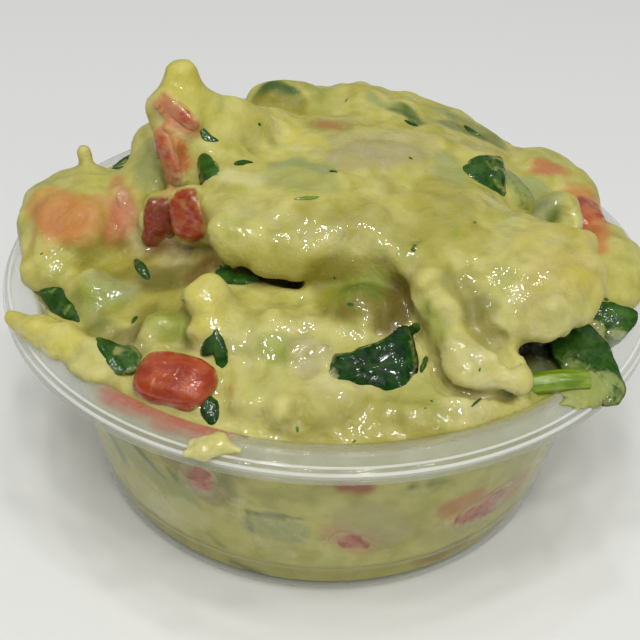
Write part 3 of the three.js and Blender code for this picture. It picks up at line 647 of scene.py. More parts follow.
# %% Lumps of the heap
spooned = [
    # the bed that fills the cup to its rim, and the mound on it
    lump(0, 1, 24.5, 33, 32.4, 6.6),
    lump(1, -4, 27, 24, 22, 5.6),
    lump(1, 6, 30, 22.5, 18, 8.4),
    lump(3, 17, 30, 19, 11, 7.6, -8),
    lump(-13, 20, 27.5, 12, 9, 6.5, 35),
    lump(2.6, 17.5, 36.8, 3.2, 3.5, 2.2),
    lump(-5.7, 15.4, 37, 5, 3.2, 3, 12),
    # the thick slab on top, with its overhanging lip
    lump(-3, -4, 34.6, 11.2, 11, 4),
    lump(-3.2, -9.2, 35, 8.4, 5.6, 3.2),
    ridge((-10.8, -10.8, 35.4, 2.5), (-11, -6.5, 36, 2.6), (-11.2, -2, 36.8, 2.7), (-12, 1.5, 38.2, 2.8)),
    ridge((-10.4, -11.6, 35.3, 2.4), (-6.3, -13, 34.9, 2.2), (-3.2, -13.8, 34.5, 2), (0.6, -12.2, 35.6, 2),
          (4.2, -10.8, 35.6, 2.2)),
    ridge((-11.6, -12.2, 35.2, 1), (-10, -13.4, 34.4, 1), (-6.8, -14.5, 34.1, 1), (-3.4, -15.2, 33.3, 0.8)),
    # the horn pulled up at the slab's left corner
    ridge((-16.6, 4.6, 45.3, 1.9), (-16.6, 3.4, 42, 3.1), (-15.4, 1.8, 38.5, 3.4), (-13, 0.5, 35.5, 3.6)),
    lump(-18.5, 2.4, 41.6, 1.9, 1.8, 2.6),
    lump(-11.4, 4.4, 38, 5.2, 3.6, 4.2, 15),
    ridge((-14.2, 4.4, 41.2, 2.2), (-11, 6.3, 38.8, 2.2), (-7, 9, 37.2, 2.2)),
    # the lobe at the left, with a small spike
    lump(-27.2, 0.5, 28.6, 8.2, 8.6, 5.8),
    ridge((-28.2, 5.2, 35.3, 0.5), (-28, 4.7, 33.4, 1.1), (-27, 4, 31, 2)),
    lump(-29.8, -6.5, 27.6, 3.8, 4.6, 3.4),
    lump(-19.5, 3, 31, 5.5, 7, 5),
    lump(-20.6, 8, 33.4, 2.6, 3.6, 4.2),
    # the finger that runs down the front, and its foot
    ridge((4.6, -11.5, 34.6, 2.6), (7.2, -15, 33.6, 2.5), (9.8, -18.2, 32.2, 2.4), (11.8, -20.8, 30.9, 2.5),
          (13.4, -22.4, 29.8, 2.6)),
    ridge((12.6, -23.2, 29.8, 2.5), (15.2, -24.4, 29.5, 2.3), (17.4, -24.8, 28.9, 1.7)),
    ridge((11.2, -25.2, 29.6, 1.1), (14, -26.2, 29.4, 1.2), (17.2, -25.8, 28.9, 1)),
    # the big lobe at the right, hanging over the leaves
    lump(11.5, -8, 32.8, 9, 11.5, 4.6),
    lump(20.2, -12, 32.8, 7, 8.6, 3.8),
    ridge((17.6, -21.6, 31, 1.6), (21, -20.6, 32.6, 1.9), (24.2, -18.2, 32.4, 2), (26.2, -14.6, 33, 2),
          (25.6, -10, 34, 1.9)),
    lump(15.4, -16.6, 31.4, 4.6, 6.4, 2.8),
    lump(15.4, -20.6, 28.6, 3.2, 4, 2.6),
    # right edge
    lump(24.6, -1.8, 31.8, 3, 4.4, 3.6, -20),
    lump(30.1, -3, 27.4, 5.2, 8.5, 3.4),
    lump(24.2, 10, 28.4, 8, 10, 4.6),
    # small lumps of the front slope and the hollow at the left, and the finger that points out there
    lump(-12.1, -18, 32.2, 2.2, 1.9, 1.8),
    ridge((-12.2, -18.6, 31.6, 1.6), (-11.4, -21.4, 29.6, 1.3)),
    ridge((-32.4, -16.7, 27.9, 0.6), (-29.8, -18.3, 27.7, 1.3), (-26.6, -20, 27.3, 1.9),
          (-23, -22, 26.9, 2.2)),
    lump(-15.6, -18.6, 28.2, 3.2, 2.2, 2.2, 30),
    lump(-24.2, -11.6, 27.6, 3.4, 2.6, 2.2, -20),
    lump(-21.6, -23.6, 26.6, 2.6, 2.2, 1.8),
    lump(-2.6, -27.2, 26.6, 7, 3.6, 2.8),
    lump(-6, -20.5, 28.4, 7.5, 3.2, 3.2, -8),
    lump(13, -27, 25.8, 8, 3.6, 2.6, 18),
    lump(0, -3.6, 24.6, 31, 29.6, 2.6),
]

hollowed = [
    lump(-18.6, -12.6, 34.4, 6.6, 6.2, 5.2),  # between the left lobe and the slab
    lump(3.8, -17.6, 34.2, 3.2, 2.8, 2.9),  # pit under the slab's lip
    lump(22.6, -20.4, 29, 3.2, 4.2, 1.3),  # gap under the right lobe
    lump(24.8, -4.2, 34, 1.3, 2, 1.6, -30),  # pocket in the curl at the right
]

undercuts = [
    # thin dark slot under the slab's lip
    ridge((-12.6, -11.8, 34.7, 0.7), (-10, -13, 33.4, 1), (-6.8, -14, 32.5, 1.1), (-3.4, -14.7, 31.7, 1)),
    ridge((-11.4, -10.8, 33.4, 0.9), (-7, -12, 32.3, 1.1), (-3.6, -12.8, 31.6, 1)),
    # pit in the crook of the slab and the finger
    lump(4.9, -18, 32.7, 2.9, 2.6, 2.3, 20),
    # valleys on both sides of the finger
    ridge((6.6, -17, 33.6, 0.8), (7.7, -20.4, 31.4, 1.1), (9.1, -23.2, 30.2, 1.2), (10.2, -25.2, 29.1, 1.1),
          (11.4, -26.8, 28.3, 0.8), (14, -27.4, 28.1, 0.8), (17.4, -26.9, 27.9, 0.7)),
    ridge((11.4, -15.2, 37.2, 0.9), (13.1, -19.6, 34.9, 1.2), (14.5, -22.8, 32.9, 1.4),
          (15.9, -23.8, 31.8, 1.4), (17.4, -25, 30.6, 1.3)),
    # dark gap under the right lobe, and the shelf before it that holds the stem
    ridge((18.8, -20.8, 28.9, 1.2), (19.8, -20.8, 28.8, 1.7), (22.5, -19.2, 28.8, 1.9),
          (25.4, -16.6, 28.6, 1.9)),
    lump(22, -24, 28.8, 3.7, 2.8, 1.9),
]

dabs = [
    lump(3.6, -18.1, 30.9, 3.9, 3, 2.2, 10),  # soft lump in the pit
    lump(25.2, -23, 25.6, 5.4, 2.6, 1.5, 42),  # mash under the stem
    ridge((-1.2, -13.6, 32.3, 1.3), (2, -13.4, 32.7, 1.9), (5.6, -13.8, 32.8, 1.9)),  # slope behind it
]
WAVINESS = 0.3  # millimetres
CUT_BLEND, DAB_BLEND = 0.25, 1.3  # undercuts have sharp edges, dabs have soft ones


def heap_distance(points):
    total = np.full(len(points), FAR)
    for part in spooned:
        total = blended(total, part(points))
    for part in hollowed:
        total = -blended(-total, part(points))
    x, y, z = points.T
    waves = np.sin(0.9 * x + 0.4 * z + 1) * np.sin(0.8 * y - 0.5 * x + 2) * np.sin(0.7 * z + 0.6 * y)
    total = total + WAVINESS * waves
    for part in undercuts:
        total = -blended(-total, part(points), CUT_BLEND)
    for part in dabs:
        total = blended(total, part(points), DAB_BLEND)
    return total


print(len(spooned), "lumps,", len(hollowed), "hollows,", len(undercuts), "undercuts and", len(dabs), "dabs")

# %% [markdown]
# Mash clings to whatever is pushed into it. Each dice is a box with soft edges, and its distance can be
# worked out like a lump's. The mash covers it by a thin coat, except in a ragged window on its outer
# face, so the dice looks out of the mash instead of lying on it.

# %% Coats over the dice
BOXINESS = 0.62  # 1 would make a dice round, and 0 a box with sharp edges
COAT = {"thick": 0.3, "window": 0.45, "blend": 1.0, "reach": 4, "shine": 3}  # millimetres
# how much of its outer face each dice shows (1 is up to its edges), the film of mash on it, how uneven
# it is in millimetres, how dark it is as painted shade, and the tint and strength with which it shines
# through the mash
DICE_LOOK = {
    "tomato_front": (1.15, -0.12, 0.12, 0.1, "orange", 0.5),
    "tomato_slab": (1.1, 0.1, 0.45, 0.15, "orange", 0.75),
    "tomato_deep": (1.15, 0.0, 0.45, 0.6, "brown", 0.7),
    "tomato_horn": (0.95, 0.45, 0.24, 0, "pink", 0.8),
    "tomato_tip": (0.95, 0.5, 0.24, 0, "pink", 0.85),
    "tomato_left": (0.55, 0.95, 0.24, 0, "orange", 0.55),
    "tomato_band": (0.85, 0.4, 0.24, 0.5, "pink", 0.7),
    "tomato_right": (1.15, 0.15, 0.24, 0, "orange", 0.8),
    "tomato_pink": (0.9, 0.5, 0.24, 0, "pink", 0.8),
    "tomato_back_left": (1.05, 0.3, 0.24, 0, "orange", 0.8),
    "tomato_back_right": (1.05, 0.3, 0.24, 0, "orange", 0.8),
    "onion_top": (0.3, 0.8, 0.24, 0, "grey", 0.35),
    "onion_front": (0.4, 0.75, 0.24, 0, "grey", 0.6),
}


def coated(name, seed):
    """Distance to the coat of mash round a dice."""
    size, at, along, facing = DICE[name]
    halves, axes, power, shown = np.array(size) / 2, axes_of(along, facing), 2 / BOXINESS, DICE_LOOK[name][0]

    def distance(points):
        total = np.full(len(points), FAR)
        close = np.flatnonzero(np.abs(points - at).max(1) < max(size) / 2 + COAT["reach"])
        if len(close) == 0:
            return total
        local = (points[close] - at) @ axes.T
        near = (np.abs(local / halves) ** power).sum(1) ** (1 / power)
        slope = np.sqrt(((np.abs(local / halves) ** (power - 1) / halves) ** 2).sum(1))
        away = (near - 1) * near ** (power - 1) / np.maximum(slope, 1e-6)
        spread_out = np.hypot(*(local / halves)[:, :2].T) / shown
        ragged = 0.3 * layered_noise(points[close], 1.8, seed, 2)
        window = ramp(1 - spread_out + ragged, -0.3, 0.2) * ramp(local[:, 2] / halves[2], 0, 0.4)
        depth = COAT["thick"] + COAT["window"] * min(1, shown ** 2)
        total[close] = away - COAT["thick"] + depth * window
        return total

    return distance


coats = [coated(name, 500 + seed) for seed, name in enumerate(DICE)]


def clinging_distance(points):
    total = heap_distance(points)
    for coat in coats:
        total = blended(total, coat(points), COAT["blend"])
    return total


print("mash clings to", len(coats), "dice")

# %% [markdown]
# Below the rim the mash is held by the cup. It presses against the plastic with no air between, so its
# skin is let just into the thickness of the wall, where the clear plastic covers it.

# %% The room that the cup gives
REACH = 0.16  # how far the mash reaches into the wall, in millimetres
PLUG_HEIGHT = 24  # up to here the cup is full to its wall
BEYOND = 12  # how far the room goes on past the hem
inside_radii = np.array([radius for radius, _ in inside_line] + [hem + BEYOND], float)
inside_heights = np.array([height for _, height in inside_line] + [inside_line[-1][1]], float)


def room_distance(points):
    """Distance to the cup's inner face, negative on the food's side of it."""
    radius, height = np.hypot(points[:, 0], points[:, 1]), points[:, 2]
    nearest = np.full(len(points), np.inf)
    for n in range(len(inside_radii) - 1):
        start = np.array((inside_radii[n], inside_heights[n]))
        way = np.array((inside_radii[n + 1], inside_heights[n + 1])) - start
        place = np.stack([radius, height], 1) - start
        share = np.clip(place @ way / (way @ way), 0, 1)
        nearest = np.minimum(nearest, np.linalg.norm(place - share[:, None] * way, axis=1))
    return np.where(height > np.interp(radius, inside_radii, inside_heights), -nearest, nearest)


def mash_distance(points):
    filled = np.minimum(clinging_distance(points), points[:, 2] - PLUG_HEIGHT)
    return np.maximum(filled, room_distance(points) - REACH)


to_wall = -room_distance(np.array([(0.0, 0, PLUG_HEIGHT)]))[0]
print("from the axis at", PLUG_HEIGHT, "mm the nearest plastic is", to_wall.round(1), "mm away")

# %% [markdown]
# A distance becomes a mesh by laying a fine grid over space and putting one point into each cube that
# the surface passes through, in the middle of where it cuts the cube's edges. Neighbouring points are
# joined into four-sided faces. This is called a surface net. A coarse grid first finds the cubes worth
# looking at, which saves most of the work.

# %% Surface net
CORNERS = np.array(list(itertools.product((0, 1), repeat=3)))
EDGES = [(a, b) for a in range(8) for b in range(a + 1, 8) if abs(CORNERS[a] - CORNERS[b]).sum() == 1]


def grid_of(distance, low, high, cell, stride=4, margin=3.0):
    """Distances on a fine grid, exact near the surface and only roughly right away from it."""
    counts = [stride * math.ceil((b - a) / (cell * stride)) for a, b in zip(low, high)]
    steps = [np.arange(count + 1) for count in counts]
    coarse_steps = [step[::stride] for step in steps]
    coarse_points = np.stack(np.meshgrid(*coarse_steps, indexing="ij"), -1).reshape(-1, 3) * cell + low
    coarse = distance(coarse_points).reshape([len(step) for step in coarse_steps])
    sizes = [count // stride for count in counts]
    near = np.zeros(sizes, bool)
    for i, j, k in CORNERS:
        near |= np.abs(coarse[i:i + sizes[0], j:j + sizes[1], k:k + sizes[2]]) < margin
    wanted = np.zeros([len(step) for step in steps], bool)
    for shift in CORNERS:
        blocks = [np.clip((step - back) // stride, 0, size - 1)
                  for step, back, size in zip(steps, shift, sizes)]
        wanted |= near[np.ix_(*blocks)]
    values = coarse[np.ix_(*[step // stride for step in steps])]
    values[wanted] = distance(np.argwhere(wanted) * cell + low)
    return values


def surface_net(distance, low, high, cell):
    """Points and outward four-sided faces of the skin where a distance is zero."""
    values = grid_of(distance, low, high, cell)
    inside = values < 0
    sizes = [count - 1 for count in values.shape]
    filled = sum(inside[i:i + sizes[0], j:j + sizes[1], k:k + sizes[2]].astype(int) for i, j, k in CORNERS)
    crossed = (filled > 0) & (filled < 8)
    cells = np.argwhere(crossed)
    number = np.full(sizes, -1)
    number[crossed] = np.arange(len(cells))
    at_corner = [values[tuple((cells + corner).T)] for corner in CORNERS]
    sums, hits = np.zeros((len(cells), 3)), np.zeros(len(cells))
    for a, b in EDGES:
        cut = (at_corner[a] < 0) != (at_corner[b] < 0)
        share = np.where(cut, at_corner[a] / np.where(cut, at_corner[a] - at_corner[b], 1), 0)
        sums += cut[:, None] * (CORNERS[a] + share[:, None] * (CORNERS[b] - CORNERS[a]))
        hits += cut
    points = (cells + sums / hits[:, None]) * cell + low
    faces = []
    for axis in range(3):
        one, two = (axis + 1) % 3, (axis + 2) % 3
        ahead = np.roll(inside, -1, axis)
        changes = inside != ahead
        changes[tuple(slice(-1, None) if n == axis else slice(None) for n in range(3))] = False
        spots = np.argwhere(changes)
        spots = spots[(spots[:, one] > 0) & (spots[:, two] > 0)
                      & (spots[:, one] < sizes[one]) & (spots[:, two] < sizes[two])]
        back_one, back_two = np.eye(3, dtype=int)[one], np.eye(3, dtype=int)[two]
        ring = [number[tuple((spots - back).T)]
                for back in (0 * back_one, back_one, back_one + back_two, back_two)]
        quads = np.stack(ring, 1)
        leaving = inside[tuple(spots.T)]
        faces.append(np.where(leaving[:, None], quads, quads[:, ::-1]))
    return points, np.concatenate(faces)


MASH_CELL = 0.42
MASH_BOX = np.array((-37.6, -36.2, -0.1)), np.array((37.6, 37.0, 48.4))
mash_points, mash_faces = surface_net(mash_distance, *MASH_BOX, MASH_CELL)
print("the heap's skin has", len(mash_points), "points and", len(mash_faces), "faces")

# %% [markdown]
# The skin is relaxed a little, so that the grid does not show, but it stays where it touches the cup.
# Each point gets a normal, the direction that leads straight out of the mash there.

# %% Relax and measure
def normals_of(points, faces):
    diagonal_one = points[faces[:, 2]] - points[faces[:, 0]]
    diagonal_two = points[faces[:, 3]] - points[faces[:, 1]]
    across_face = np.cross(diagonal_one, diagonal_two)
    total = np.zeros_like(points)
    for corner in range(4):
        np.add.at(total, faces[:, corner], across_face)
    return total / np.maximum(np.linalg.norm(total, axis=1, keepdims=True), 1e-12)


def edges_of(faces):
    pairs = np.concatenate([faces[:, [a, (a + 1) % 4]] for a in range(4)])
    return np.unique(np.sort(pairs, 1), axis=0)


def spread(values, edges, passes, share=0.5):
    """Each point's values drawn towards the average of its neighbours."""
    flat = values.reshape(len(values), -1).astype(float)
    count = np.bincount(edges.ravel(), minlength=len(flat))[:, None]
    for _ in range(passes):
        total = np.zeros_like(flat)
        np.add.at(total, edges[:, 0], flat[edges[:, 1]])
        np.add.at(total, edges[:, 1], flat[edges[:, 0]])
        flat = flat + share * (total / np.maximum(count, 1) - flat)
    return flat.reshape(values.shape)


mash_edges = edges_of(mash_faces)
free = ramp(-room_distance(mash_points), 0.1, 0.8)  # 0 where the mash touches plastic
relaxed = spread(mash_points, mash_edges, 1)
mash_points = mash_points + free[:, None] * (relaxed - mash_points)
mash_normals = normals_of(mash_points, mash_faces)
print("the mash is free of the plastic at", int((free > 0.5).sum()), "points")

# %% [markdown]
# Mashed avocado keeps soft crumbs of its flesh. They are added as low bumps scattered over the skin
# by a seeded draw, on top of two layers of noise. The relief fades out where the mash meets plastic,
# and it is strongest at the front and the left. Afterwards each point is compared with the average of
# its neighbours: where it lies below it the mash is folded, and where it lies above it stands out.

# %% Crumbs and relief
CRUMBS = {"count": 800, "least": 0.8, "most": 2.4, "height": 0.26, "seed": 7}
RELIEF = [(0.22, 3.8, 3), (0.06, 1.5, 11)]  # height and length of the waves, and the seed
MOST_LUMPY = 1.9  # how many times as strong the relief may be


def bumps(points, centres, sizes, heights):
    """Sum of round bumps, for points near each centre."""
    total = np.zeros(len(points))
    order = np.argsort(points[:, 0])
    sorted_x = points[order, 0]
    for centre, size, height in zip(centres, sizes, heights):
        first, last = np.searchsorted(sorted_x, (centre[0] - size, centre[0] + size))
        some = order[first:last]
        away = np.linalg.norm(points[some] - centre, axis=1) / size
        total[some] += height * np.clip(1 - away ** 2, 0, 1) ** 2
    return total


draw = np.random.default_rng(CRUMBS["seed"])
crumb_centres = mash_points[draw.choice(np.flatnonzero(free > 0.9), CRUMBS["count"], replace=False)]
crumb_sizes = draw.uniform(0, 1, CRUMBS["count"]) ** 2 * (CRUMBS["most"] - CRUMBS["least"]) + CRUMBS["least"]
crumb_heights = CRUMBS["height"] * crumb_sizes / CRUMBS["most"] * draw.choice((-0.3, 1, 1), CRUMBS["count"])
relief_height = bumps(mash_points, crumb_centres, crumb_sizes, crumb_heights)
for height, size, seed in RELIEF:
    relief_height += height * layered_noise(mash_points, size, seed, 2)
lumpy = 0.6 + 1.3 * ramp(-mash_points[:, 1], 15, 20) + 0.5 * ramp(-mash_points[:, 0], 14, 20)
relief_height *= np.minimum(lumpy, MOST_LUMPY)
mash_points = mash_points + (free * relief_height)[:, None] * mash_normals
mash_normals = normals_of(mash_points, mash_faces)
standing_out = ((mash_points - spread(mash_points, mash_edges, 8)) * mash_normals).sum(1)
print("relief from", round(relief_height.min(), 2), "to", round(relief_height.max(), 2), "mm")

# %% [markdown]
# Now the colour. A plain yellow green is mottled with cream, olive and grey by noise of several sizes.
# Then painted light turns the high spots cream, painted shade turns the folds olive, and the front turns a
# little paler. Stains and painted shade come next, and each is a stroke of a brush from one point to
# another, so the brush is made here.

# %% Paint
def stroke(points, start, end, radius, soft=1.2, ragged=0.5, seed=5):
    """How much a stroke of this radius covers each point, with a soft ragged edge."""
    start, end = np.array(start, float), np.array(end, float)
    margin = radius + soft + ragged
    low, high = np.minimum(start, end) - margin, np.maximum(start, end) + margin
    close = np.flatnonzero(((points > low) & (points < high)).all(1))
    way, some, cover = end - start, points[close], np.zeros(len(points))
    share = np.clip((some - start) @ way / max(way @ way, 1e-9), 0, 1)
    away = np.linalg.norm(some - start - share[:, None] * way, axis=1)
    cover[close] = ramp(radius - away - ragged * layered_noise(some, 2.2, seed, 2), -soft / 2, soft / 2)
    return cover


# shade and dark are painted shade and painted shadow, for folds, pits, gaps and the slot under the lip
TINTS = {
    "plain": colour(187, 181, 99), "cream": colour(206, 199, 126), "olive": colour(154, 146, 56),
    "yellow": colour(202, 192, 88), "pale": colour(208, 202, 146), "green": colour(142, 156, 58),
    "leaf": colour(66, 94, 34), "shade": colour(104, 98, 38), "film": colour(150, 158, 104),
    "grey": colour(172, 164, 118), "tan": colour(202, 172, 112), "orange": colour(192, 128, 70),
    "pink": colour(186, 116, 78), "red": colour(160, 60, 30), "brown": colour(118, 84, 44),
    "dark": colour(34, 34, 14),
}
# tint, strength, size of the blotches, seed, layers, and the noise from which and up to which it grows
MOTTLES = [
    ("cream", 0.55, 7, 21, 3, -0.1, 0.7),
    ("olive", 0.45, 6, 41, 3, 0.05, 0.8),
    ("grey", 0.35, 9, 51, 2, 0.1, 0.7),
    ("olive", 0.4, 2.8, 71, 3, 0.05, 0.6),
    ("green", 0.3, 3.4, 91, 3, 0.15, 0.6),
    ("cream", 0.4, 2.2, 101, 3, 0.1, 0.6),
]
FOLD = (0.03, 0.2)  # a point this far off the average of its neighbours begins to change, or has changed


def tinted(paint, share, tint):
    return paint + share[:, None] * (np.array(TINTS[tint]) - paint)


paint = np.tile(TINTS["plain"], (len(mash_points), 1))
for tint, strength, size, seed, layers, low, high in MOTTLES:
    paint = tinted(paint, strength * ramp(layered_noise(mash_points, size, seed, layers), low, high), tint)
# painted light makes the high spots cream, and painted shade makes the folds olive
paint = tinted(paint, 0.5 * ramp(standing_out, *FOLD), "cream")
paint = tinted(paint, 0.6 * ramp(-standing_out, *FOLD), "olive")
paint = tinted(paint, 0.2 * ramp(-mash_points[:, 1], 16, 22) * free, "pale")  # the front is palest
print("the paint's average before the stains is", paint.mean(0)[:3].round(2))
